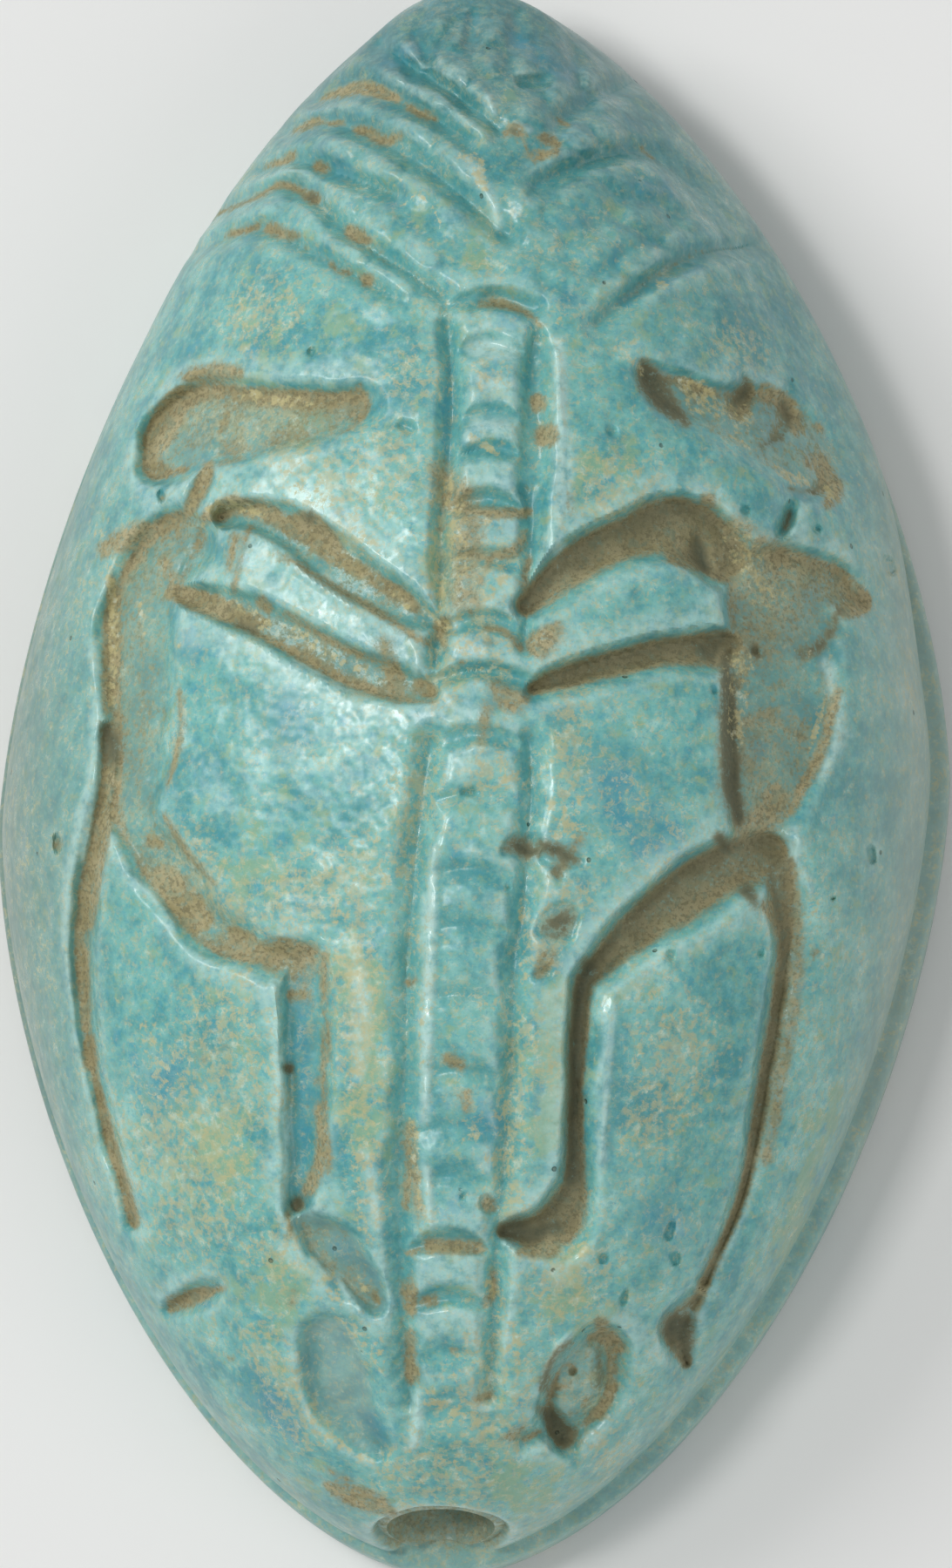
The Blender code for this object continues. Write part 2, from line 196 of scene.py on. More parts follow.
# Shallow cuts of a fine tool
FINE_CUTS: dict[str, list[Path]] = {
    "left shoulder": [
        [(-513, 288, 47), (-534, 248, 91), (-565, 205, 87)], [(-494, 269, 25), (-507, 228, 33), (-520, 190, 29)],
    ],
    "cap of the trunk": [[(10, 553, 18), (38, 562, 33), (89, 557, 33), (122, 544, 25), (145, 519, 15)]],
    "notch in the right brow": [[(562, 486, 15), (561, 470, 36), (554, 451, 47)]],
    "right cheek": [[(655, 487, 18), (650, 460, 29), (640, 432, 25), (620, 409, 15)]],
    "right jaw": [[(660, 347, 18), (696, 341, 25), (722, 353, 22)]],
    "right throat": [[(665, 316, 15), (660, 302, 22), (648, 287, 15)]],
    "right armpit": [[(476, 278, 15), (480, 256, 40), (492, 238, 25)]],
    "pit at the right tail": [[(435, -702, 22), (456, -694, 62), (474, -705, 44), (477, -735, 18)]],
    "hollow of the right pit": [[(176, -799, 29), (201, -821, 58), (229, -841, 55), (246, -861, 22)]],
    "end of the right foot": [[(104, -591, 33), (129, -588, 55), (164, -586, 47)]],
    "grooves of the tip": [
        [(-22, 934, 25), (-23, 910, 29)], [(61, 930, 25), (71, 908, 29)],
        [(169, 912, 22), (191, 882, 29), (204, 859, 22)], [(-141, 908, 22), (-109, 886, 25)],
        [(-111, 866, 22), (-61, 843, 25), (-16, 817, 22)], [(90, 858, 25), (136, 860, 25)],
    ],
}
# Chips beside the trunk
CHIPS: list[Path] = [
    [(99, -129, 22), (122, -121, 47), (151, -118, 40)], [(183, -133, 33), (212, -137, 44), (248, -138, 22)],
    [(205, -147, 25), (209, -156, 15)], [(175, -225, 29), (207, -216, 73), (228, -205, 44), (225, -228, 36)],
    [(166, -279, 18), (187, -276, 18)], [(-135, 402, 18), (-120, 398, 25)],
]
# Pits that the firing left
FIRING_PITS: list[Path] = [
    [(447, -574, 13), (440, -588, 18)], [(453, -614, 22), (454, -618, 18)], [(354, -658, 9), (348, -670, 15)],
    [(307, -620, 20)], [(71, -558, 36), (75, -562, 33)], [(-325, -560, 27)], [(-349, -395, 22)], [(574, 312, 18)],
    [(519, 80, 13)], [(720, 300, 16)], [(856, 275, 16), (863, 264, 16)], [(297, 401, 22)], [(-330, 498, 16)],
    [(-644, 328, 13), (-640, 320, 13)], [(-850, -102, 16), (-847, -115, 16)], [(9, -57, 11), (29, -56, 13)],
    [(244, -755, 15)], [(19, -551, 11)], [(117, 324, 22)], [(622, -239, 13)], [(439, -249, 20)],
    [(844, -97, 16), (846, -108, 15)], [(767, -163, 9)], [(547, 134, 11)], [(599, 138, 18)], [(104, -173, 11)],
]
# Leaflets that stand between the fronds
LEAFLETS: list[Path] = [
    [(198, 706, 59), (228, 707, 78), (250, 701, 55)], [(172, 680, 45), (202, 669, 64), (209, 660, 36)],
    [(276, 741, 41), (305, 736, 59)], [(333, 683, 50), (361, 680, 59)],
    [(232, 631, 45), (264, 634, 64), (289, 638, 41)], [(322, 621, 36), (350, 625, 55), (375, 633, 31)],
    [(193, 785, 41), (212, 783, 59)], [(186, 758, 36)], [(267, 584, 31), (295, 592, 45)],
    [(302, 655, 45), (324, 654, 45)], [(100, 694, 41), (122, 687, 45)], [(254, 799, 41), (272, 798, 50)],
    [(401, 723, 36), (423, 713, 41)], [(350, 750, 45), (375, 740, 50)], [(155, 610, 41), (184, 604, 50)],
    [(448, 683, 41), (478, 680, 41)], [(-368, 693, 36), (-334, 677, 41)], [(-289, 640, 31), (-242, 620, 41)],
    [(-193, 601, 36), (-144, 585, 45)], [(-288, 703, 50), (-261, 691, 55)], [(-220, 678, 50), (-189, 666, 55)],
    [(-133, 635, 45), (-99, 614, 55)], [(-213, 744, 50), (-183, 736, 55)], [(-138, 716, 45), (-108, 704, 55)],
    [(-66, 683, 45), (-36, 665, 55)], [(-144, 799, 41), (-117, 787, 50)], [(-57, 758, 45), (-11, 734, 59)],
    [(-310, 778, 36), (-279, 770, 45)], [(-118, 845, 50), (-84, 832, 55)], [(-34, 798, 41), (0, 779, 50)],
    [(-73, 882, 45), (-39, 864, 50)], [(-5, 844, 41), (19, 820, 45)], [(-454, 697, 31), (-416, 698, 36)],
    [(-402, 747, 28), (-367, 741, 31)], [(199, 790, 44), (224, 786, 47)], [(169, 757, 33), (195, 758, 36)],
    [(264, 797, 40)], [(234, 738, 33), (276, 744, 44), (315, 750, 29)], [(199, 702, 47), (236, 708, 51)],
    [(188, 671, 40), (210, 667, 33)], [(117, 653, 47), (157, 647, 55)], [(330, 681, 40), (362, 683, 36)],
    [(303, 653, 29), (325, 650, 29)], [(226, 629, 40), (272, 633, 44)], [(83, 616, 44), (126, 610, 51)],
    [(188, 598, 40), (235, 592, 36)], [(345, 728, 36), (377, 724, 33)], [(406, 661, 25), (440, 669, 22)],
    [(-90, 928, 40)], [(-60, 911, 36)], [(23, 922, 44)], [(-70, 865, 36), (-41, 860, 29)], [(16, 883, 47)],
    [(95, 883, 44)], [(136, 895, 36)], [(162, 852, 44)], [(223, 873, 33)], [(104, 819, 44)], [(-151, 898, 36)],
    [(-176, 866, 33)], [(-120, 837, 47), (-89, 824, 40)], [(-189, 898, 25)], [(251, 840, 33)],
]
# Rounded seeds that stand in the right pit
PIT_SEEDS: list[Path] = [
    [(258, -743, 91), (254, -764, 106)], [(237, -793, 62)],
]
# Low ridges between the grooves
RIDGES: dict[str, list[Path]] = {
    "border of the right crown": [[(357, 572, 22), (409, 594, 29), (470, 617, 29), (548, 637, 25), (606, 651, 18)]],
    "above the right border": [[(285, 580, 18), (337, 605, 25), (398, 635, 29), (467, 658, 29), (544, 681, 18)]],
    "above the trunk": [[(33, 589, 25), (105, 586, 36), (178, 569, 29)]],
    "right bank of the trunk": [[(183, 498, 18), (188, 426, 25), (185, 326, 29), (182, 238, 22)]],
    "left bank of the foot": [[(-290, -625, 11), (-260, -648, 18), (-224, -665, 18), (-191, -688, 11)]],
}
# Thin burrs of clay along the cuts, off which the glaze ran
BURRS: dict[str, list[Path]] = {
    "left shin": [
        [(-380, -292, 9), (-368, -358, 11), (-356, -422, 13), (-349, -485, 15), (-353, -528, 11), (-360, -580, 9)],
    ],
    "left foot": [[(-294, -628, 9), (-263, -646, 13), (-239, -650, 11), (-221, -668, 11), (-193, -689, 9)]],
    "left thigh": [[(-689, -154, 9), (-651, -174, 13), (-616, -197, 11), (-590, -217, 9)]],
    "left tail": [[(-764, 36, 7), (-764, -17, 11), (-771, -71, 9), (-790, -130, 7)]],
    "right shin": [[(325, -301, 11), (319, -341, 11), (313, -394, 11), (307, -458, 11), (302, -500, 9)]],
    "right hip": [[(671, -87, 9), (694, -94, 11), (688, -118, 11), (710, -137, 11), (721, -156, 9)]],
    "trunk foot": [[(122, -666, 11), (113, -704, 15), (106, -744, 13)]],
    "right bank of the trunk": [[(175, 503, 11), (186, 447, 13), (190, 347, 13), (191, 281, 9)]],
    "left edge of the trunk": [
        [(-50, -128, 15), (-53, -209, 22), (-57, -315, 22), (-60, -432, 18)], [(-55, -522, 15), (-47, -585, 15)],
        [(-74, -790, 15), (-76, -847, 15)],
    ],
    "tongue": [[(-348, 222, 15), (-283, 197, 18), (-237, 174, 15)], [(-108, 131, 13), (-93, 112, 13), (-93, 93, 11)]],
    "crown": [
        [(20, 710, 15), (40, 684, 15), (52, 661, 11)], [(20, 831, 11), (32, 812, 13)],
        [(80, 796, 11), (106, 790, 11)],
    ],
}
# Banks beside the cuts with painted highlights, where the glaze also ran thin and pale
HIGHLIGHT_BANKS: list[Path] = [
    [(17, 502, 47), (78, 499, 47)], [(26, 460, 33), (83, 456, 36)], [(25, 404, 36), (89, 401, 33)],
    [(692, -83, 18), (681, -119, 22), (712, -144, 22)],
    [(181, 512, 25), (190, 447, 29), (195, 325, 27), (196, 238, 18)], [(-62, -187, 22), (-64, -251, 25)],
    [(-64, -331, 22), (-65, -368, 22)], [(-62, -411, 18), (-60, -459, 18)], [(-59, -517, 15), (-47, -580, 18)],
    [(-76, -790, 22), (-78, -832, 29), (-87, -854, 18)], [(122, -662, 15), (113, -704, 18), (106, -746, 15)],
    [(-289, 211, 22), (-227, 169, 25)], [(-343, 104, 18), (-251, 73, 22), (-178, 51, 15)],
    [(-94, 131, 22), (-93, 98, 18)], [(-29, 169, 15), (-16, 152, 15)],
    [(-201, -273, 25), (-192, -327, 33), (-198, -401, 25)], [(-175, -507, 18), (-167, -549, 22), (-156, -591, 15)],
    [(745, 129, 25), (777, 54, 25), (744, -13, 22)], [(-18, 743, 25), (28, 704, 22), (48, 670, 22)],
    [(213, 392, 15), (212, 282, 15)], [(37, 532, 18), (10, 525, 15)],
]

# Brown earth in specks, lines and clods
EARTH_MARKS: dict[str, list[Path]] = {
    "trunk between the arms": [
        [(-40, 322, 22), (10, 319, 18)], [(-51, 272, 16)], [(53, 235, 22), (43, 219, 16)], [(-21, 208, 22)],
        [(-50, 153, 25), (-33, 123, 18)], [(53, 130, 22)], [(16, 169, 15)], [(0, 104, 16)],
    ],
    "left leg": [
        [(-281, -441, 22), (-273, -475, 29), (-278, -512, 33), (-301, -544, 33)],
        [(-264, -337, 15), (-262, -385, 13)], [(-285, -411, 18)],
    ],
    "start of the upper left arm": [
        [(-544, 293, 33), (-518, 301, 40), (-496, 307, 36)], [(-450, 277, 15), (-466, 238, 16), (-479, 198, 15)],
    ],
    "crown": [
        [(-338, 849, 11), (-299, 853, 29), (-257, 855, 40), (-223, 849, 36), (-173, 836, 22)],
        [(-146, 821, 22), (-127, 814, 22), (-89, 805, 11)], [(-394, 807, 18), (-361, 812, 29), (-342, 815, 25)],
        [(-320, 808, 15), (-294, 809, 15)], [(-255, 797, 22), (-226, 791, 25), (-198, 779, 25), (-165, 782, 25)],
        [(-451, 762, 15), (-413, 763, 22), (-395, 769, 25)], [(-337, 749, 29), (-324, 747, 29)],
        [(-569, 709, 13), (-485, 712, 15), (-438, 724, 18), (-415, 730, 18), (-368, 719, 15)],
        [(-356, 710, 29), (-339, 706, 33)], [(-525, 670, 16), (-480, 672, 18), (-461, 675, 15)],
        [(-430, 669, 33), (-403, 661, 22), (-374, 655, 22)], [(-259, 658, 29), (-240, 650, 33), (-221, 644, 22)],
        [(-218, 590, 33)], [(-297, 616, 11), (-285, 604, 15), (-262, 600, 16)], [(-458, 640, 13)],
        [(61, 786, 22), (79, 790, 33), (94, 783, 25)], [(130, 782, 18), (148, 780, 33), (167, 774, 22)],
        [(171, 807, 16), (184, 801, 16)], [(116, 753, 29), (135, 757, 27), (167, 762, 16)],
        [(337, 784, 9), (359, 772, 9)], [(22, 560, 18), (53, 562, 29), (93, 555, 22), (122, 547, 15), (142, 533, 16)],
    ],
    "trunk": [
        [(-26, 310, 58), (-7, 303, 40)], [(4, 297, 25), (47, 293, 29), (108, 293, 29), (129, 296, 18)],
        [(6, 242, 22), (49, 238, 18), (106, 247, 29), (123, 269, 15)], [(31, 208, 29)],
        [(133, 237, 15), (125, 212, 16), (130, 182, 13)], [(49, 148, 16), (85, 144, 18), (120, 123, 15)],
        [(143, 436, 40)], [(165, 392, 55)], [(218, 311, 22)], [(74, 62, 22), (106, 49, 29), (127, 56, 29)],
        [(164, 130, 69), (196, 148, 36)], [(-18, -384, 22), (11, -391, 29)], [(26, -426, 22), (26, -444, 22)],
        [(187, -259, 47), (169, -278, 22)], [(-47, -612, 36), (0, -611, 36), (50, -612, 33)],
        [(-90, -620, 16), (-68, -616, 16)], [(-93, -658, 25), (-90, -671, 40), (-86, -690, 25)],
        [(-61, -677, 24), (-39, -677, 24)], [(-88, -717, 22), (-88, -744, 25), (-84, -767, 36)],
        [(81, -644, 15), (81, -665, 18), (65, -680, 18)], [(53, -795, 25), (73, -789, 18)], [(1, -737, 16)],
        [(71, -559, 36)], [(-97, -485, 25), (-91, -507, 22), (-98, -559, 22)], [(-99, -291, 18), (-83, -288, 15)],
    ],
    "foot and flanks": [
        [(-334, -675, 31)], [(-269, -897, 18), (-221, -910, 44), (-166, -919, 44), (-126, -932, 15)],
        [(-276, -877, 13), (-220, -894, 13)], [(-602, -671, 18), (-561, -667, 25), (-520, -664, 25)],
        [(-484, -661, 16)], [(99, -842, 13), (129, -831, 15)], [(304, -700, 33), (340, -723, 27)],
        [(322, -772, 29), (300, -805, 25)], [(215, -775, 18), (236, -772, 15)], [(272, -788, 16), (265, -798, 15)],
        [(115, -841, 15), (143, -828, 15)], [(-162, -667, 11), (-158, -678, 9)], [(-543, -500, 18)],
        [(-476, -372, 15)], [(-527, -384, 16)], [(-850, -108, 24)], [(-640, 322, 15)], [(-595, -585, 15)],
        [(-468, -746, 13)], [(-325, -561, 29)], [(-349, -395, 22)],
    ],
    "left head": [
        [(-671, 370, 40), (-657, 398, 62), (-630, 437, 73), (-608, 456, 47)],
        [(-597, 480, 33), (-540, 483, 40), (-483, 477, 25)],
        [(-228, 450, 22), (-219, 423, 18), (-240, 402, 16), (-301, 388, 11)], [(-635, 356, 25), (-597, 359, 22)],
        [(-544, 358, 33), (-554, 334, 40), (-582, 304, 33)], [(-519, 410, 33), (-507, 430, 18)],
        [(-518, 360, 15), (-475, 365, 9), (-374, 378, 7), (-298, 388, 7)],
    ],
    "left body": [
        [(-760, 264, 44), (-706, 276, 55), (-658, 283, 36)], [(-638, 291, 16)],
        [(-745, 221, 25), (-742, 182, 36), (-741, 131, 44), (-744, 87, 36), (-746, 57, 22)],
        [(-737, 28, 51), (-731, -18, 51), (-737, -67, 40), (-758, -120, 47), (-772, -163, 47), (-783, -208, 40)],
        [(-786, -242, 22), (-784, -317, 24)], [(-774, -355, 33), (-772, -379, 36)],
        [(-755, -413, 18), (-738, -458, 25), (-710, -509, 25), (-684, -557, 29), (-675, -577, 22)],
        [(-635, 243, 29), (-615, 220, 29)], [(-591, 197, 40), (-538, 184, 51), (-478, 170, 44)],
        [(-591, 76, 11), (-583, 32, 15), (-596, -17, 15), (-613, -49, 13)],
        [(-616, -83, 13), (-566, -129, 18), (-506, -169, 13)], [(-649, -110, 25), (-626, -115, 25)],
        [(-618, -152, 47), (-583, -178, 73), (-549, -205, 69), (-520, -214, 33)],
        [(-456, -259, 18), (-405, -253, 47), (-357, -247, 40), (-292, -252, 22)],
        [(-273, -258, 18), (-273, -293, 22), (-272, -327, 13)],
        [(-341, -305, 25), (-316, -305, 25), (-301, -316, 15)],
        [(-282, -446, 25), (-269, -475, 18), (-260, -507, 22)], [(-273, -348, 9), (-272, -422, 15), (-258, -523, 15)],
        [(-345, -572, 15), (-339, -599, 11)], [(-469, -227, 25), (-423, -235, 18)],
    ],
    "left arms": [
        [(-496, 310, 33), (-425, 299, 40), (-384, 287, 33)],
        [(-369, 280, 44), (-329, 276, 66), (-295, 259, 62), (-269, 241, 47)],
        [(-269, 239, 40), (-221, 221, 33), (-165, 201, 31), (-125, 188, 29), (-96, 171, 18)],
        [
            (-400, 243, 9), (-348, 229, 13), (-307, 212, 16), (-234, 187, 20), (-164, 162, 20), (-109, 140, 18),
            (-69, 127, 18),
        ],
        [(-479, 263, 29), (-490, 227, 18)], [(-420, 182, 29), (-405, 175, 22)],
        [(-614, 202, 40), (-545, 182, 47), (-474, 167, 40), (-418, 157, 25)],
        [
            (-470, 154, 15), (-399, 133, 18), (-325, 110, 22), (-251, 86, 25), (-178, 69, 22), (-120, 58, 16),
            (-55, 54, 9),
        ],
        [(-371, 168, 9), (-297, 141, 13), (-235, 121, 15), (-162, 105, 13)], [(-140, 99, 29), (-129, 87, 22)],
        [(-81, 75, 36), (-63, 67, 33)],
    ],
    "head of the right monkey": [
        [(544, 441, 29), (569, 443, 29)], [(610, 472, 40), (657, 458, 44), (669, 429, 33)],
        [(699, 386, 29), (727, 399, 25)], [(750, 366, 29), (761, 344, 22)], [(450, 473, 18), (486, 464, 22)],
    ],
    "right monkey": [
        [(805, 213, 62), (778, 199, 36)],
        [(771, 96, 18), (757, 64, 25), (737, 17, 29), (700, -32, 25), (672, -65, 16)],
        [(647, -35, 44), (630, -63, 55), (599, -97, 62), (631, -127, 55)], [(643, -180, 47), (669, -216, 33)],
        [(737, -233, 22)], [(718, 436, 25)], [(720, 388, 47), (754, 357, 40), (740, 334, 25)], [(496, 320, 36)],
        [(424, 244, 25), (478, 236, 18)], [(499, -663, 25), (513, -639, 25)], [(214, -555, 33), (241, -544, 25)],
        [(197, -610, 44), (143, -616, 29)], [(571, 476, 33), (551, 442, 47)],
    ],
}
# Dark soil in the chips by the trunk and in small pits, and painted shadow in the deepest corners and along the steep
# walls of the right monkey's cuts
DARK_SOIL_AND_SHADOW: dict[str, list[Path]] = {
    "by the trunk": [
        [(101, -126, 18), (122, -121, 40), (147, -128, 33), (165, -125, 18)],
        [(172, -118, 22), (205, -128, 36), (232, -135, 25), (248, -138, 13)], [(205, -147, 18)],
        [(182, -223, 22), (207, -218, 55), (228, -205, 36)],
    ],
    "joints of the right monkey": [
        [(476, 277, 15), (480, 258, 40), (492, 238, 25)], [(663, 316, 9), (657, 299, 11)],
        [(767, 198, 15), (747, 165, 22), (716, 145, 29), (691, 139, 18)], [(598, 140, 22), (606, 132, 22)],
        [(492, 135, 33), (506, 125, 25)], [(513, 133, 25), (534, 156, 15)], [(590, -163, 33), (608, -176, 22)],
        [(535, -101, 29), (556, -116, 22)],
    ],
    "head of the right monkey": [
        [(359, 491, 22), (376, 469, 62), (406, 444, 55), (449, 419, 22)],
        [(569, 486, 13), (561, 467, 25), (547, 455, 16)],
        [(644, 461, 11), (653, 437, 15), (639, 414, 15), (599, 401, 9)], [(665, 348, 9), (711, 349, 11)],
    ],
    "waist of the right monkey": [[(538, 126, 22), (547, 74, 36), (551, 20, 44), (558, -34, 47), (573, -70, 40)]],
    "shin of the right monkey": [
        [(272, -266, 40), (252, -305, 33), (246, -364, 33), (243, -459, 29), (245, -523, 36)],
    ],
    "foot of the right monkey": [[(104, -591, 29), (129, -588, 47), (164, -590, 40), (207, -580, 33)]],
    "pits at the foot": [
        [(435, -702, 25), (460, -694, 62), (473, -708, 40), (475, -733, 15)],
        [(176, -803, 15), (197, -810, 33), (218, -826, 47), (228, -842, 25)],
        [(240, -722, 11), (204, -744, 15), (185, -778, 18)], [(293, -729, 9), (300, -747, 13), (297, -770, 9)],
    ],
    "left monkey": [
        [(-753, 33, 18), (-735, 20, 36), (-732, -3, 33)], [(-325, -559, 25)], [(-349, -395, 18)], [(-324, 290, 22)],
        [(-470, 154, 11), (-436, 147, 15)],
    ],
    "crown": [[(77, 787, 22)], [(146, 780, 18)], [(-343, 709, 18)]],
}
# Zones with a thin film of earth over the glaze
EARTH_FILM: list[Path] = [
    [(556, 289, 127), (646, 256, 146), (762, 237, 91)], [(577, -76, 109), (640, -111, 127), (689, -178, 91)],
    [(697, -198, 62), (692, -284, 73), (665, -391, 73), (638, -486, 62)], [(673, -28, 55), (653, -72, 73)],
    [(586, 186, 91), (571, 97, 73)], [(56, 50, 66), (43, 7, 55)], [(205, -152, 73), (254, -108, 55)],
    [(73, 72, 91), (127, 62, 73)], [(25, 180, 73)], [(-54, 339, 127), (2, 290, 164), (-3, 191, 164)],
    [(-37, 158, 73)], [(-92, -464, 55), (-73, -570, 55)], [(-162, 125, 91), (-133, 60, 73)],
]
# Cream crust in threads, stars and lines
CREAM: list[Path] = [
    [(429, 472, 18), (469, 463, 36), (501, 458, 22)], [(452, 444, 18), (481, 436, 22)],
    [(542, 406, 13), (582, 396, 11)], [(622, 376, 15), (672, 362, 33), (693, 362, 22)],
    [(736, 357, 22), (749, 343, 15)], [(317, 510, 22), (332, 497, 22)], [(597, 193, 15)],
    [(668, 144, 13), (712, 144, 11)], [(755, 190, 15)], [(742, 85, 13), (729, 51, 15), (709, 17, 13)],
    [(-537, 300, 25), (-518, 306, 25)], [(-551, 284, 15)], [(-471, 183, 18), (-437, 171, 22)],
    [(-464, 451, 29), (-415, 440, 29), (-359, 439, 22), (-319, 435, 16)], [(-138, 191, 25), (-119, 174, 22)],
    [(-496, 308, 25), (-425, 297, 25)],
    [(-418, 154, 25), (-326, 139, 25), (-289, 120, 22), (-197, 95, 22), (-161, 87, 15)],
    [(3, 742, 40), (17, 712, 29)], [(-31, 751, 29), (-3, 749, 29)],
    [(-154, 686, 9), (-118, 700, 9), (-84, 681, 9), (-70, 658, 9), (-105, 639, 9), (-138, 658, 9)],
    [(-171, 714, 11), (-156, 721, 11)], [(377, 601, 18), (391, 595, 25), (405, 591, 15)],
    [(180, 540, 9), (201, 547, 11), (226, 537, 13), (245, 519, 9)], [(343, 654, 11), (353, 637, 15), (364, 630, 11)],
    [(303, 510, 18), (328, 500, 25), (354, 480, 18)], [(-198, -648, 15), (-184, -663, 15)],
    [(-266, -832, 15), (-226, -855, 18), (-164, -872, 15)], [(0, -819, 18), (45, -812, 15)],
    [(-275, -726, 18), (-283, -736, 18)], [(3, 479, 11), (32, 468, 15), (22, 450, 15)],
    [(-59, 439, 11), (-41, 456, 11), (-35, 438, 9)], [(203, -77, 47), (239, -92, 55), (204, -104, 40)],
    [(131, -46, 18), (104, -35, 29), (77, -52, 25)],
    [(-753, 239, 18), (-742, 181, 25), (-738, 114, 22), (-739, 64, 18)], [(-784, 280, 22), (-726, 287, 29)],
    [(-681, 189, 15), (-671, 144, 15)], [(-593, 131, 15)],
    [(-332, -774, 9), (-310, -808, 15), (-270, -838, 16), (-212, -861, 15), (-165, -870, 11)],
    [(-58, 234, 22), (-46, 191, 25)], [(48, 279, 25)], [(86, 219, 25), (51, 181, 22)], [(7, 389, 18), (62, 367, 18)],
    [(27, 104, 22), (90, 94, 18)], [(677, 366, 33), (695, 360, 22)],
]
# Zones where the cream crust gathers in clumps
CREAM_CLUMPS: list[Path] = [
    [(451, 469, 109), (559, 430, 127)], [(565, 273, 146), (621, 210, 146)], [(571, 119, 127), (565, 31, 109)],
    [(-246, -188, 109), (-222, -273, 127), (-213, -358, 127)],
    [(-212, -401, 116), (-200, -496, 116), (-181, -602, 91)], [(-106, -177, 55), (-78, -257, 62)],
    [(-73, -321, 51), (-65, -395, 51)], [(-85, -459, 62), (-66, -559, 62)], [(135, -185, 55), (141, -292, 55)],
    [(108, -425, 73), (117, -557, 73)], [(-35, 322, 127), (-4, 224, 127)], [(-47, 169, 127), (27, 110, 146)],
    [(-110, -37, 91), (-100, -139, 73)], [(-268, -654, 127), (-163, -749, 127)], [(-54, -790, 127), (72, -830, 127)],
    [(72, -652, 109), (144, -745, 109)], [(34, -473, 109)], [(-644, -343, 109), (-606, -429, 109)],
    [(-441, -283, 127)],
]
# Zones with a lace of lime crust
CRUST: list[Path] = [
    [(-53, 322, 109), (-40, 235, 127), (-28, 147, 127), (-43, 60, 109)], [(49, 235, 164), (45, 105, 164)],
    [(-206, -188, 127), (-200, -316, 146), (-192, -454, 146), (-172, -570, 109)], [(224, 107, 109), (220, -44, 146)],
    [(139, -345, 109), (123, -462, 109), (125, -567, 91)], [(-102, -48, 91), (-108, -155, 91)],
    [(-373, 369, 164), (-243, 322, 164)], [(-574, -131, 218), (-442, -219, 182)],
    [(-495, -346, 291), (-512, -526, 291)], [(-92, -883, 200), (35, -892, 200)], [(40, 467, 127)],
    [(-526, 430, 218), (-376, 425, 146)], [(-441, 553, 291)], [(-123, 467, 200)], [(-172, 356, 273)],
    [(-240, 257, 164)], [(-50, 257, 127), (-44, 82, 109)], [(49, 235, 146), (52, 170, 146)], [(554, 523, 218)],
    [(296, 328, 255)], [(59, -25, 164)], [(-207, -156, 255), (-352, -188, 218)],
    [(-213, -284, 164), (-192, -412, 164)], [(-457, -421, 309)], [(-624, -471, 255), (-530, -578, 273)],
    [(-363, -622, 218)], [(-401, -727, 164), (-311, -831, 164)], [(73, -768, 273), (72, -830, 273)],
    [(233, -649, 273)], [(459, -358, 273), (408, -455, 237)], [(175, -387, 146)], [(97, -515, 127)],
    [(304, -783, 164)], [(-84, -48, 164)], [(172, -249, 164), (242, -183, 127)], [(303, -844, 146)],
]
# Zones where the glaze pooled blue
POOLED: list[Path] = [
    [(-320, -289, 109), (-316, -369, 113), (-317, -475, 102), (-320, -549, 84)], [(191, 662, 62), (230, 672, 47)],
    [(293, 622, 62)], [(205, 567, 73)], [(65, 922, 80), (176, 876, 80)], [(-153, 899, 91), (-208, 886, 55)],
    [(-268, 734, 55), (-298, 753, 47)], [(302, 780, 47)], [(-181, -817, 73), (-145, -848, 73)],
    [(-235, -612, 91), (-180, -649, 73)], [(70, -463, 146)], [(-403, -789, 164), (-348, -831, 109)],
    [(-606, -408, 237)], [(309, -31, 237), (400, -104, 237)], [(427, -570, 200)], [(207, 836, 55), (250, 851, 44)],
    [(-29, 946, 55)], [(348, 726, 91), (401, 719, 66)], [(-42, 478, 40), (-43, 367, 40)],
    [(461, 621, 36), (356, 588, 36), (312, 571, 40)], [(-575, 130, 91), (-555, 108, 73)], [(-358, 28, 218)],
    [(-173, 690, 55)], [(-523, -677, 55)], [(610, 12, 80)], [(-84, 730, 55)], [(-309, -749, 73)],
]
# Zones where the glaze turned green
GREENED: list[Path] = [
    [(294, 685, 73)], [(65, 838, 73)], [(104, 678, 62)], [(-117, 672, 73)], [(-339, 413, 218)],
    [(-204, -263, 200), (-182, -475, 200)], [(-493, -505, 309)], [(-382, -664, 273)], [(29, 660, 109)],
    [(-59, 257, 109), (-48, 191, 91)], [(233, -660, 273)], [(142, -890, 291)], [(209, -312, 182), (195, -471, 182)],
    [(5, 614, 109)], [(-407, -155, 218)], [(295, 351, 218)], [(-255, 536, 200)], [(778, -392, 91), (672, -603, 109)],
    [(-436, 484, 200)],
]


def linear(hex_color: str) -> tuple[float, float, float, float]:
    """Turn an sRGB hex colour into Blender's linear one.

    Args:
        hex_color: The colour as "#rrggbb".

    Returns:
        Red, green, blue and an alpha of 1.
    """
    shares = [int(hex_color[i : i + 2], 16) / 255 for i in (1, 3, 5)]
    red, green, blue = (s / 12.92 if s <= 0.04045 else ((s + 0.055) / 1.055) ** 2.4 for s in shares)
    return red, green, blue, 1.0


def smooth_step(share: np.ndarray) -> np.ndarray:
    """0 below 0, 1 above 1, and an even rise between."""
    share = np.clip(share, 0.0, 1.0)
    return share * share * (3.0 - 2.0 * share)


def ramp(value: np.ndarray, start: float, width: float) -> np.ndarray:
    """A smooth rise from 0 at the start to 1 a width further on."""
    return smooth_step((value - start) / width)


def flat(table: dict[str, list[Path]]) -> list[Path]:
    """All the paths of a table, without their names."""
    return [path for paths in table.values() for path in paths]


def strokes_of(figure: Figure) -> list[Path]:
    """The paths of a figure's strokes."""
    return [path for _, path in figure.values()]


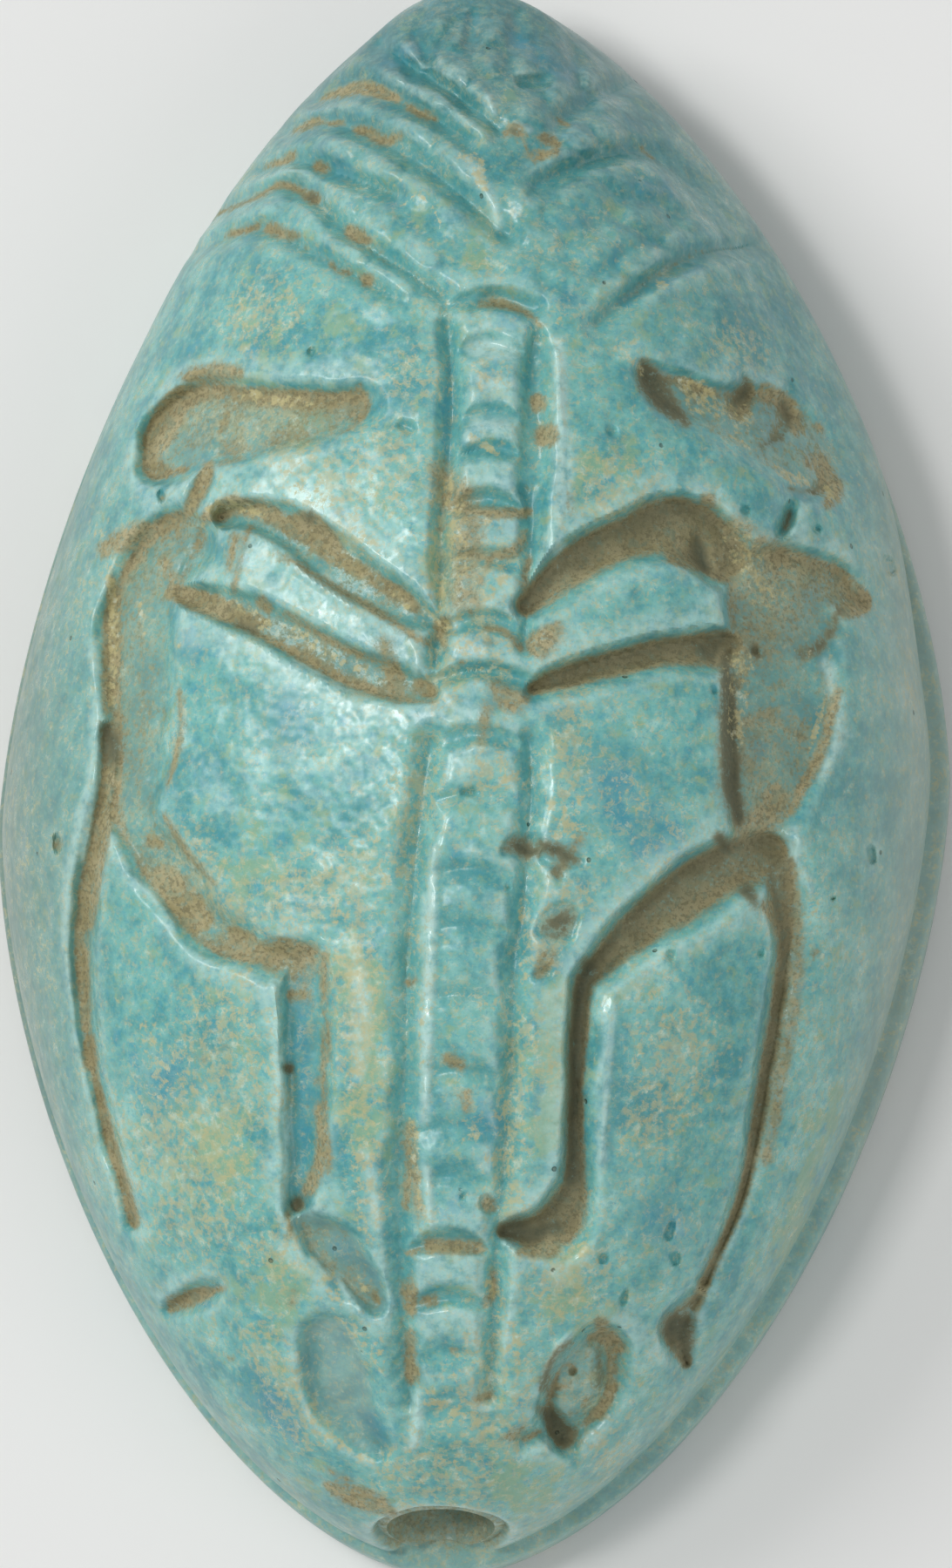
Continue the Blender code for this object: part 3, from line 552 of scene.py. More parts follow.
@dataclass(frozen=True)
class BeadForm:
    """The uncarved bead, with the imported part's own sizes, in metres."""

    length: float = 0.0380
    width: float = 0.0228
    dome_height: float = 0.0094
    base_thickness: float = 0.0026
    edge_rounding: float = 0.00035
    groove_width: float = 0.0005
    groove_depth: float = 0.0003
    dome_inset: float = 0.0003
    dome_shift: float = -0.00015
    tip_shift: float = -0.00037
    widest_left: float = -0.0014
    widest_right: float = 0.00027
    top_fullness: float = 1.602
    top_sharpness: float = 0.63
    foot_fullness: float = 1.664
    foot_sharpness: float = 0.57
    top_bluntness: float = 2.35
    foot_bluntness: float = 1.9
    crest_shift: float = 0.00037
    crest_lean: float = 0.02
    crest_fade: float = 6.0
    steepest_gain: float = 1.5

    def outline_x(self, y: np.ndarray, side: int) -> np.ndarray:
        """X of the widest contour at the stations y.

        Args:
            y: Stations along the bead.
            side: -1 for the left edge, +1 for the right.

        Returns:
            The X of that edge at each station.
        """
        half = self.length / 2
        widest = self.widest_right if side > 0 else self.widest_left
        reach = self.width / 2 - side * self.tip_shift
        above = y > widest
        share = np.where(above, (y - widest) / (half - widest), (widest - y) / (half + widest))
        fullness = np.where(above, self.top_fullness, self.foot_fullness)
        sharpness = np.where(above, self.top_sharpness, self.foot_sharpness)
        taper = np.clip(1.0 - np.clip(share, 0.0, 1.0) ** fullness, 0.0, 1.0) ** sharpness
        return self.tip_shift + side * reach * taper

    def crest_x(self, y: np.ndarray) -> np.ndarray:
        """X of the dome's highest line at stations along the bead.

        Args:
            y: The stations.

        Returns:
            The X at each station.
        """
        share = np.abs(y) / (self.length / 2)
        lean = self.crest_shift - self.tip_shift + self.crest_lean * y
        return self.tip_shift + lean * (1.0 - share**self.crest_fade)

    def inset_scale(self, inset: float) -> tuple[float, float]:
        """Scale in X and Y that draws the widest contour in by an inset."""
        return 1.0 - 2.0 * inset / self.width, 1.0 - 2.0 * inset / self.length

    def dome_rise(self, x: np.ndarray, y: np.ndarray) -> np.ndarray:
        """Height of the uncarved dome above the base plate.

        Args:
            x, y: The plan points.

        Returns:
            The height at each point.
        """
        across, along = self.inset_scale(self.dome_inset)
        x = (x - self.dome_shift) / across
        y = y / along
        crest = self.crest_x(y)
        reach = np.where(x > crest, self.outline_x(y, 1) - crest, crest - self.outline_x(y, -1))
        away = np.clip(np.abs(x - crest) / np.maximum(reach, 1e-9), 0.0, 1.0)
        share = np.clip(np.abs(y) / (self.length / 2), 0.0, 1.0)
        bluntness = np.where(y > 0, self.top_bluntness, self.foot_bluntness)
        return self.dome_height * (1.0 - share**2) ** (1.0 / bluntness) * np.sqrt(1.0 - away**2)

    def slope_gain(self, x: np.ndarray, y: np.ndarray) -> np.ndarray:
        """How much deeper a cut runs along Z where the dome slopes.

        Args:
            x, y: The plan points.

        Returns:
            The factor at each point, from 1 on the level.
        """
        step = self.length / 1000
        slope_x = (self.dome_rise(x + step, y) - self.dome_rise(x - step, y)) / (2 * step)
        slope_y = (self.dome_rise(x, y + step) - self.dome_rise(x, y - step)) / (2 * step)
        return np.minimum(np.sqrt(1.0 + slope_x**2 + slope_y**2), self.steepest_gain)

    def trace(self, path: Path, steps: int = 5) -> np.ndarray:
        """Turn a path of shares into a smooth one in metres.

        Args:
            path: Points (across, along, width) in thousandths.
            steps: Points on the curve between each two of the path.

        Returns:
            Rows of x, y and width in metres.
        """
        knots = np.array(path, float) * np.array([self.width, self.length, self.width]) / 2000
        if len(knots) == 1:
            return np.vstack([knots, knots + [0.0, 1e-6, 0.0]])
        knots = np.vstack([2 * knots[0] - knots[1], knots, 2 * knots[-1] - knots[-2]])
        pieces = []
        for before, start, end, after in zip(knots, knots[1:], knots[2:], knots[3:]):
            t = np.linspace(0.0, 1.0, steps, endpoint=False)[:, None]
            bend = 2 * start + (end - before) * t
            bend = bend + (2 * before - 5 * start + 4 * end - after) * t**2
            pieces.append((bend + (3 * start - before - 3 * end + after) * t**3) / 2)
        traced = np.vstack([*pieces, knots[-2:-1]])
        traced[:, 2] = np.maximum(traced[:, 2], 0.0)
        return traced


# The sloping walls of the cuts are gentler towards the lower right, where the tool left the clay
GENTLE_SIDE = (0.8, -0.6)
TURN_SOFTNESS = 0.1 * MM
JOINT_SOFTNESS = 0.05 * MM


@dataclass(frozen=True)
class Stroke:
    """One traced stroke and how far from its edge it still has an effect."""

    points: np.ndarray
    reach: float

    def near(self, x: np.ndarray, y: np.ndarray) -> np.ndarray:
        """Find the plan points that lie close enough to be touched by the stroke.

        Args:
            x, y: The plan points.

        Returns:
            The places of those points in x and y.
        """
        pad = self.points[:, 2].max() / 2 + self.reach
        low = self.points[:, :2].min(axis=0) - pad
        high = self.points[:, :2].max(axis=0) + pad
        return np.flatnonzero((x > low[0]) & (x < high[0]) & (y > low[1]) & (y < high[1]))

    def measure(self, x: np.ndarray, y: np.ndarray) -> tuple[np.ndarray, np.ndarray, np.ndarray]:
        """Measure plan points against the stroke.

        Args:
            x, y: The plan points.

        Returns:
            The distance to the stroke's edge, negative inside; the distance to its middle as a
            share of half its width; and how far the offset turns to the gentle side, -1 to 1.
        """
        ax, ay, aw = self.points[:-1].T[:, :, None]
        bx, by, bw = self.points[1:].T[:, :, None]
        run = np.maximum((bx - ax) ** 2 + (by - ay) ** 2, 1e-16)
        t = np.clip(((x - ax) * (bx - ax) + (y - ay) * (by - ay)) / run, 0.0, 1.0)
        off_x = x - ax - t * (bx - ax)
        off_y = y - ay - t * (by - ay)
        away = np.hypot(off_x, off_y)
        half = np.maximum((aw + t * (bw - aw)) / 2, 1e-6)
        edge = away - half
        nearest = edge.min(axis=0)
        weight = np.exp((nearest - edge) / JOINT_SOFTNESS)
        weight = weight / weight.sum(axis=0)
        side = (GENTLE_SIDE[0] * off_x + GENTLE_SIDE[1] * off_y) / (away + TURN_SOFTNESS)
        return nearest, (weight * away / half).sum(axis=0), (weight * side).sum(axis=0)


@dataclass(frozen=True)
class Unevenness:
    """Soft hand-made waviness: a sum of seeded waves of about the same length."""

    wavelength: float
    seed: int
    waves: int = 22
    slowest: float = 0.75
    fastest: float = 1.3
    crest: float = 2.2

    def at(self, x: np.ndarray, y: np.ndarray) -> np.ndarray:
        """Height of the waves.

        Args:
            x, y: The plan points.

        Returns:
            The height at each point, about -1 to 1.
        """
        rng = np.random.default_rng(self.seed)
        turn = rng.uniform(0.0, 2 * math.pi, self.waves)
        phase = rng.uniform(0.0, 2 * math.pi, self.waves)
        pace = 2 * math.pi / self.wavelength * rng.uniform(self.slowest, self.fastest, self.waves)
        total = np.zeros(x.shape)
        for a, p, k in zip(turn, phase, pace):
            total += np.sin(k * (x * math.cos(a) + y * math.sin(a)) + p)
        return total / math.sqrt(self.waves / 2) / self.crest


# How the hand strays from a line, in waves of about 1.7 mm
HAND_WAVER = Unevenness(0.0017, 9)


@dataclass(frozen=True)
class Tool:
    """How deep a kind of cut is and how its walls slope, in metres.

    The tilt is the share of the depth that the floor loses on its way to the gentle wall, and the
    waver is how far the hand strayed from the line.
    """

    depth: float
    steep_wall: float
    gentle_wall: float
    tilt: float = 0.0
    waver: float = 0.0

    def cut(self, form: BeadForm, paths: Iterable[Path], x: np.ndarray, y: np.ndarray) -> np.ndarray:
        """Cut this tool's strokes, of which the deepest counts at each point.

        Args:
            form: The bead that is cut.
            paths: The strokes' paths.
            x, y: The plan points.

        Returns:
            The depth at each point, negative where the tool adds clay.
        """
        share = np.zeros(x.shape)
        for path in paths:
            stroke = Stroke(form.trace(path), self.gentle_wall)
            at = stroke.near(x, y)
            edge, middle, turned = stroke.measure(x[at], y[at])
            edge = edge + self.waver * HAND_WAVER.at(x[at], y[at])
            wall = self.steep_wall + (self.gentle_wall - self.steep_wall) * smooth_step((turned + 1) / 2)
            floor = 1.0 - self.tilt * (0.5 + 0.5 * turned * np.clip(middle, 0.0, 1.0))
            share[at] = np.maximum(share[at], floor * smooth_step(0.5 - edge / wall))
        return self.depth * share


def spread(form: BeadForm, paths: Iterable[Path], x: np.ndarray, y: np.ndarray, rim: float) -> np.ndarray:
    """Cover plan points with soft-edged marks.

    Args:
        form: The bead that is marked.
        paths: The marks' paths.
        x: X of the points.
        y: Y of the points.
        rim: Width of the soft rim in metres, or 0 for a mark that fades out from its middle.

    Returns:
        0 outside the marks and 1 well inside them.
    """
    cover = np.zeros(x.shape)
    for path in paths:
        stroke = Stroke(form.trace(path), rim)
        at = stroke.near(x, y)
        edge, share, _ = stroke.measure(x[at], y[at])
        here = smooth_step(0.5 - edge / rim) if rim else smooth_step(1.0 - share)
        cover[at] = np.maximum(cover[at], here)
    return cover


@dataclass(frozen=True)
class FloorSoil:
    """How soil lies on the floor of a cut: inside its edge, and thinner at the gentle wall.

    The loss is the share that it loses there. It follows a smooth step from its start, by its gain
    over the way from the middle to the gentle wall, as far out as its reach in half widths.
    """

    drawn_in: float
    rim: float
    loss: float
    loss_start: float
    loss_gain: float
    loss_reach: float
    touch: float = 0.2 * MM

    def lay(self, form: BeadForm, floors: Iterable[tuple[float, Path]], x: np.ndarray, y: np.ndarray) -> np.ndarray:
        """Cover the floors of cuts.

        Args:
            form: The bead that is cut.
            floors: The cover at full strength, and the path, of each cut.
            x, y: The plan points.

        Returns:
            The share of soil at each point.
        """
        cover = np.zeros(x.shape)
        for share, path in floors:
            stroke = Stroke(form.trace(path), self.touch)
            at = stroke.near(x, y)
            edge, middle, turned = stroke.measure(x[at], y[at])
            lean = turned * np.clip(middle, 0.0, self.loss_reach)
            here = smooth_step(0.5 - (edge + self.drawn_in) / self.rim)
            here = here * (1.0 - self.loss * smooth_step(self.loss_start + self.loss_gain * lean))
            cover[at] = np.maximum(cover[at], share * here)
        return cover


@dataclass(frozen=True)
class Carving:
    """The carved back: every tool, its strokes, and the hand-made unevenness of the surface."""

    form: BeadForm
    right_head: Tool = Tool(0.00054, 0.00028, 0.00096, 0.5, 0.00004)
    right_body: Tool = Tool(0.00066, 0.00030, 0.00110, 0.45, 0.00005)
    right_limbs: Tool = Tool(0.00086, 0.00028, 0.00080, 0.35, 0.00005)
    necks: Tool = Tool(0.00022, 0.00026, 0.00034, 0.0, 0.00003)
    right_waist: Tool = Tool(0.00064, 0.00028, 0.00076, 0.50, 0.00005)
    right_tail: Tool = Tool(0.00066, 0.00024, 0.00120, 0.45, 0.00004)
    left_head: Tool = Tool(0.00056, 0.00040, 0.00070, 0.20, 0.00005)
    left_body: Tool = Tool(0.00050, 0.00056, 0.00064, 0.0, 0.00006)
    left_leg: Tool = Tool(0.00058, 0.00036, 0.00064, 0.2, 0.00005)
    left_arms: Tool = Tool(0.00050, 0.00034, 0.00036, 0.0, 0.00004)
    left_tail: Tool = Tool(0.00046, 0.00036, 0.00060, 0.2, 0.00005)
    right_pit: Tool = Tool(0.00080, 0.00032, 0.00076, 0.3, 0.00004)
    left_pit: Tool = Tool(0.00048, 0.00056, 0.00080, 0.1, 0.00005)
    trunk_sides: Tool = Tool(0.00044, 0.00046, 0.00070, 0.0, 0.00005)
    worn_sides: Tool = Tool(0.00050, 0.00076, 0.00092, 0.0, 0.00006)
    left_fronds: Tool = Tool(0.00036, 0.00050, 0.00074, 0.0, 0.00004)
    right_fronds: Tool = Tool(0.00036, 0.00056, 0.00090, 0.0, 0.00004)
    rings: Tool = Tool(0.00020, 0.00026, 0.00036, 0.0, 0.00005)
    strong_rings: Tool = Tool(0.00028, 0.00030, 0.00042, 0.0, 0.00005)
    worn_rings: Tool = Tool(0.00017, 0.00050, 0.00060, 0.0, 0.00008)
    ring_dips: Tool = Tool(0.00014, 0.00090, 0.00100, 0.0, 0.00006)
    fine_cuts: Tool = Tool(0.00014, 0.00024, 0.00034)
    chips: Tool = Tool(0.00014, 0.00016, 0.00018)
    firing_pits: Tool = Tool(0.00013, 0.00009, 0.00011)
    leaflets: Tool = Tool(-0.00015, 0.00046, 0.00052)
    ridges: Tool = Tool(-0.00006, 0.00030, 0.00034)
    burrs: Tool = Tool(-0.00008, 0.00022, 0.00022)
    crown_field: Tool = Tool(0.00013, 0.00120, 0.00120)
    seeds: Tool = Tool(-0.00026, 0.00050, 0.00060)
    floor_roughness: float = 0.00005
    floor_waves: Unevenness = Unevenness(0.0011, 5)
    floor_gain: float = 1.6
    floor_start: float = 0.6
    swell: float = 0.00007
    swell_waves: Unevenness = Unevenness(0.0052, 3)
    ripple: float = 0.000022
    ripple_waves: Unevenness = Unevenness(0.0013, 4)
    wave_level: float = 0.8

    def ring_path(self, station: float) -> Path:
        """Draw one ring across the trunk, arched from side groove to side groove.

        Args:
            station: Where it crosses, in thousandths of half the length.

        Returns:
            The ring's path.
        """
        left, right = (
            float(np.interp(station, *np.array(TRUNK_SIDES[side][1], float)[::-1, 1::-1].T))
            for side in ("left", "right")
        )
        low = station - RING_ARCH / 2
        middle = (0.5 * (left + right), station + RING_ARCH, RING_WIDTH)
        return [(left, low, RING_WIDTH), middle, (right, low, RING_WIDTH)]

    def trunk_sides_at(self, upper: bool) -> list[Path]:
        """The parts of the trunk's side grooves above or below its waist, where they are worn."""
        return [[p for p in path if (p[1] > TRUNK_WAIST) == upper] for _, path in TRUNK_SIDES.values()]

    def figure_strokes(self) -> list[tuple[Tool, list[Path]]]:
        """The cuts that make the picture, of which the deepest counts at each point.

        Returns:
            Each tool with its paths.
        """
        figures = (
            (self.right_head, RIGHT_HEAD),
            (self.right_body, RIGHT_BODY),
            (self.right_limbs, RIGHT_LIMBS),
            (self.necks, NECKS),
            (self.right_waist, RIGHT_WAIST),
            (self.right_tail, RIGHT_TAIL),
            (self.left_head, LEFT_HEAD),
            (self.left_leg, LEFT_LEG),
            (self.left_body, LEFT_BODY),
            (self.left_arms, LEFT_ARMS),
            (self.left_tail, LEFT_TAIL),
            (self.left_fronds, LEFT_FRONDS),
            (self.right_fronds, RIGHT_FRONDS),
        )
        rings = ((self.rings, UPPER_RINGS), (self.strong_rings, STRONG_RINGS), (self.worn_rings, WORN_RINGS))
        return [
            *((tool, strokes_of(figure)) for tool, figure in figures),
            (self.right_pit, [FRUIT_PITS["right"][1]]),
            (self.left_pit, [FRUIT_PITS["left"][1], FRUIT_PITS["right notch"][1]]),
            (self.trunk_sides, self.trunk_sides_at(True)),
            (self.worn_sides, self.trunk_sides_at(False)),
            *((tool, [self.ring_path(s) for s in stations]) for tool, stations in rings),
        ]

    def added_strokes(self) -> list[tuple[Tool, list[Path]]]:
        """The finer forms that are cut into, or stand on, what the figure strokes leave.

        Returns:
            Each tool with its paths.
        """
        return [
            (self.fine_cuts, flat(FINE_CUTS)),
            (self.chips, CHIPS),
            (self.firing_pits, FIRING_PITS),
            (self.leaflets, LEAFLETS),
            (self.ridges, flat(RIDGES)),
            (self.seeds, PIT_SEEDS),
            (self.burrs, flat(BURRS)),
            (self.crown_field, flat(CROWN_FIELD)),
            (self.ring_dips, [self.ring_path(s) for s in (*UPPER_RINGS, *STRONG_RINGS) if s > TRUNK_WAIST]),
        ]

    def depth(self, x: np.ndarray, y: np.ndarray) -> np.ndarray:
        """Depth of the carving below the dome.

        Args:
            x, y: The plan points.

        Returns:
            The depth at each point.
        """
        deepest = np.zeros(x.shape)
        for tool, paths in self.figure_strokes():
            deepest = np.maximum(deepest, tool.cut(self.form, paths, x, y))
        floor = smooth_step(deepest / self.left_body.depth * self.floor_gain - self.floor_start)
        depth = deepest + floor * self.floor_roughness * self.floor_waves.at(x, y)
        for tool, paths in self.added_strokes():
            depth = depth + tool.cut(self.form, paths, x, y)
        depth = depth + self.swell * (self.wave_level + self.swell_waves.at(x, y))
        return np.maximum(depth + self.ripple * (self.wave_level + self.ripple_waves.at(x, y)), 0.0)


class Mark(Enum):
    """The attributes that tell the glaze where it is stained, crusted, pooled, thin or darker teal, and where it
    bears painted shade, highlights and reflection.
    """

    EARTH = "earth"
    # Painted shade at the steep walls of the right monkey's cuts, with the dark soil of the chips and pits
    DEEP = "deep"
    CREAM = "cream"
    CRUST = "crust"
    POOLED = "pooled"
    GREENED = "greened"
    # Thin pale glaze on the lips, with painted highlights along burrs and banks
    LIP = "lip"
    # Hollows: pooled glaze there, and painted shade on the earth
    HOLLOW = "hollow"
    FLANK = "greying_and_reflection"
    # Painted shade: greyer and darker glaze towards the left edge
    LEFT_FLANK = "left_edge_shade"
    # Darker teal towards the crown and the tip
    THICK = "thick"


@dataclass(frozen=True)
class NodeUse:
    """A shader node as the finishes use it.

    It holds the node's type, its inputs in the order of use, its useful output and its settings.
    """

    kind: str
    inputs: tuple[str | int, ...] = ()
    output: str | int = 0
    settings: tuple[tuple[str, str], ...] = ()


class Node(Enum):
    """The shader nodes that the finishes are built from."""

    PLACE = NodeUse("ShaderNodeTexCoord", output="Object")
    SHIFT = NodeUse("ShaderNodeMapping", ("Vector", "Location", "Scale"))
    NOISE = NodeUse("ShaderNodeTexNoise", ("Vector", "Scale", "Detail", "Roughness", "Distortion"))
    CELLS = NodeUse("ShaderNodeTexVoronoi", ("Vector", "Scale"))
    ATTRIBUTE = NodeUse("ShaderNodeAttribute", output="Fac")
    SPLIT = NodeUse("ShaderNodeSeparateColor", ("Color",))
    SUBTRACT = NodeUse("ShaderNodeMath", (0, 1), settings=(("operation", "SUBTRACT"),))
    MULTIPLY = NodeUse("ShaderNodeMath", (0, 1), settings=(("operation", "MULTIPLY"),))
    WEIGH = NodeUse("ShaderNodeMath", (0, 1, 2), settings=(("operation", "MULTIPLY_ADD"),))
    LARGER = NodeUse("ShaderNodeMath", (0, 1), settings=(("operation", "MAXIMUM"),))
    SIZE = NodeUse("ShaderNodeMath", (0,), settings=(("operation", "ABSOLUTE"),))
    SOFT_RISE = NodeUse(
        "ShaderNodeMapRange",
        ("Value", "From Min", "From Max", "To Min", "To Max"),
        settings=(("interpolation_type", "SMOOTHSTEP"),),
    )
    EVEN_RISE = NodeUse("ShaderNodeMapRange", ("Value", "From Min", "From Max", "To Min", "To Max"))
    TINT = NodeUse("ShaderNodeMix", ("Factor", 6, 7), 2, (("data_type", "RGBA"),))
    BUMP = NodeUse("ShaderNodeBump", ("Strength", "Distance", "Height"))


@dataclass(frozen=True)
class Pattern:
    """A noise: features a millimetre, layers of finer detail, and a seed for the place it is read at."""

    per_mm: float
    detail: float
    roughness: float
    seed: float = 0.0
    distortion: float = 0.0


# The patterns of the glaze, by the size of their features: 5 mm clouds, 1 mm drifts and flecks,
# 0.3 mm mottles, threads and specks, and grains of about 0.15 and 0.1 mm
PATTERNS = {
    "cloud": Pattern(0.2, 2.0, 0.5),
    "drift": Pattern(0.9, 6.0, 0.66, seed=11.0),
    "fleck": Pattern(1.5, 6.0, 0.72, seed=41.0),
    "peel": Pattern(1.15, 2.0, 0.5, seed=7.0),
    "mottle": Pattern(3.2, 4.0, 0.7, seed=23.0),
    "wander": Pattern(3.6, 2.0, 0.6, seed=47.0, distortion=0.7),
    "speck": Pattern(5.0, 4.0, 0.7, seed=71.0),
    "fine": Pattern(6.5, 3.0, 0.75, seed=53.0),
    "grain": Pattern(9.0, 3.0, 0.7, seed=31.0),
}


# What a node's input takes: another node's output or a plain value
Value = bpy.types.NodeSocket | tuple[float, ...] | float


class Bench:
    """A material's node tree with its patterns and marks, and the one function that adds a node."""

    def __init__(self, material: bpy.types.Material) -> None:
        """Lay out the patterns, in object coordinates in millimetres, and the piece's marks.

        Args:
            material: The material, with its nodes in use.
        """
        self.tree = material.node_tree
        self.place = self.add(Node.SHIFT, self.add(Node.PLACE), (0.0, 0.0, 0.0), (1.0 / MM,) * 3)
        self.values = {mark.value: self.add(Node.ATTRIBUTE, attribute_name=mark.value) for mark in Mark}
        for name, pattern in PATTERNS.items():
            spot = self.add(Node.SHIFT, self.place, (pattern.seed, 0.7 * pattern.seed, -pattern.seed))
            self.values[name] = self.add(
                Node.NOISE, spot, pattern.per_mm, pattern.detail, pattern.roughness, pattern.distortion
            )

    def add(self, use: Node, *values: Value, **settings: str) -> bpy.types.NodeSocket:
        """Add a shader node, set it up and wire it.

        Args:
            use: The node and how it is used.
            *values: A value or a socket for each of its inputs, in order.
            **settings: More of the node's own properties.

        Returns:
            The output to go on with.
        """
        made = use.value
        node = self.tree.nodes.new(made.kind)
        for name, setting in {**dict(made.settings), **settings}.items():
            setattr(node, name, setting)
        for name, value in zip(made.inputs, values):
            if isinstance(value, bpy.types.NodeSocket):
                self.tree.links.new(value, node.inputs[name])
            else:
                node.inputs[name].default_value = value
        return node.outputs[made.output]

    def weigh(self, start: float, **weights: float) -> bpy.types.NodeSocket:
        """Add up named values by their weights.

        Args:
            start: What the sum starts from.
            **weights: The weight of each named value.

        Returns:
            The sum.
        """
        total = start
        for name, weight in weights.items():
            total = self.add(Node.WEIGH, self.values[name], weight, total)
        return total

    def spare(self, value: bpy.types.NodeSocket, **losses: float) -> bpy.types.NodeSocket:
        """Weaken a value where other named values are high.

        Args:
            value: The value to weaken.
            **losses: The share that each named value takes away at its full strength.

        Returns:
            What is left.
        """
        for name, loss in losses.items():
            value = self.add(Node.MULTIPLY, value, self.add(Node.WEIGH, self.values[name], -loss, 1.0))
        return value


class Tone(Enum):
    """The colours of the glaze and of what lies on it."""

    PALE = "#a0d3c8"
    BODY = "#75b9b2"
    DEEP = "#4d999c"
    POOLED_BLUE = "#398598"
    FLECK_BLUE = "#469eb0"
    GREEN = "#8db28d"
    # greyer glaze; on the right flank a painted reflection of the grey surround
    WEATHERED = "#9aaca3"
    # greyer, darker glaze towards the left edge, as painted shade
    WEATHERED_LEFT = "#70897f"
    THICK = "#276c72"
    # near-white: thin glaze on the lips, and painted highlights
    THIN_LIP = "#d2efe7"
    EARTH = "#a59669"
    EARTH_PALE = "#b9aa80"
    EARTH_DARK = "#766a48"
    EARTH_GREEN = "#859880"
    # dark soil colour, used mostly as painted shade at the steep walls
    EARTH_DEEP = "#565640"
    CRUST = "#c5bb88"
    CRUST_WHITE = "#d3dcc4"
    PINHOLE = "#4a5a48"


@dataclass(frozen=True)
class Layer:
    """One colour over those before it.

    It starts where the named value reaches low and has its full amount where it reaches high.
    """

    tone: Tone
    value: str
    low: float
    high: float
    amount: float = 1.0
    rise: Node = Node.SOFT_RISE


def wash(tone: Tone, mark: str, amount: float) -> Layer:
    """A layer that follows a mark evenly, from nothing to an amount."""
    return Layer(tone, mark, 0.0, 1.0, amount, Node.EVEN_RISE)


# The glassy skin, from its clouds to the thin lips of the cuts, with painted highlights, reflection and shade
SKIN = (
    Layer(Tone.BODY, "skin", 0.74, 0.98),
    Layer(Tone.PALE, "skin", 0.93, 1.2),
    wash(Tone.THICK, "thick skin", 0.8),
    Layer(Tone.FLECK_BLUE, "fine", 0.47, 0.36, 0.42),
    Layer(Tone.GREEN, "fine", 0.54, 0.66, 0.34),
    Layer(Tone.GREEN, "greening", 0.55, 0.66, 0.72),
    Layer(Tone.FLECK_BLUE, "bluing", 0.42, 0.33, 0.6),
    wash(Tone.THICK, "thick", 0.37),
    # painted reflection: the right flank greyer; also greyer low on the flanks and on two floors
    wash(Tone.WEATHERED, "greying_and_reflection", 0.75),
    # painted shade: greyer and darker towards the left edge
    wash(Tone.WEATHERED_LEFT, "left_edge_shade", 0.8),
    wash(Tone.POOLED_BLUE, "pooled skin", 0.75),
    wash(Tone.DEEP, "hollow", 0.5),
    # painted shade: the glaze darker teal where the shade and dark soil mark lies
    wash(Tone.THICK, "deep", 0.5),
    # thin pale glaze on the lips, with painted highlights
    wash(Tone.THIN_LIP, "thin glaze and highlight", 0.72),
)
# The earth: pale and dark clods and grains over its plain brown, and painted shade in hollows and at steep walls
SOIL = (
    Layer(Tone.EARTH_PALE, "drift", 0.42, 0.6),
    Layer(Tone.EARTH_PALE, "fine", 0.48, 0.38, 0.6),
    Layer(Tone.EARTH_DARK, "grain", 0.47, 0.6, 0.75),
    Layer(Tone.EARTH_GREEN, "mottle", 0.5, 0.38, 0.5),
    # painted shade: darker earth in the hollows, and darkest at the steep walls of the right monkey's cuts
    wash(Tone.EARTH_DARK, "hollow", 0.3),
    wash(Tone.EARTH_DEEP, "painted_shade_and_dark_soil", 1.0),
)


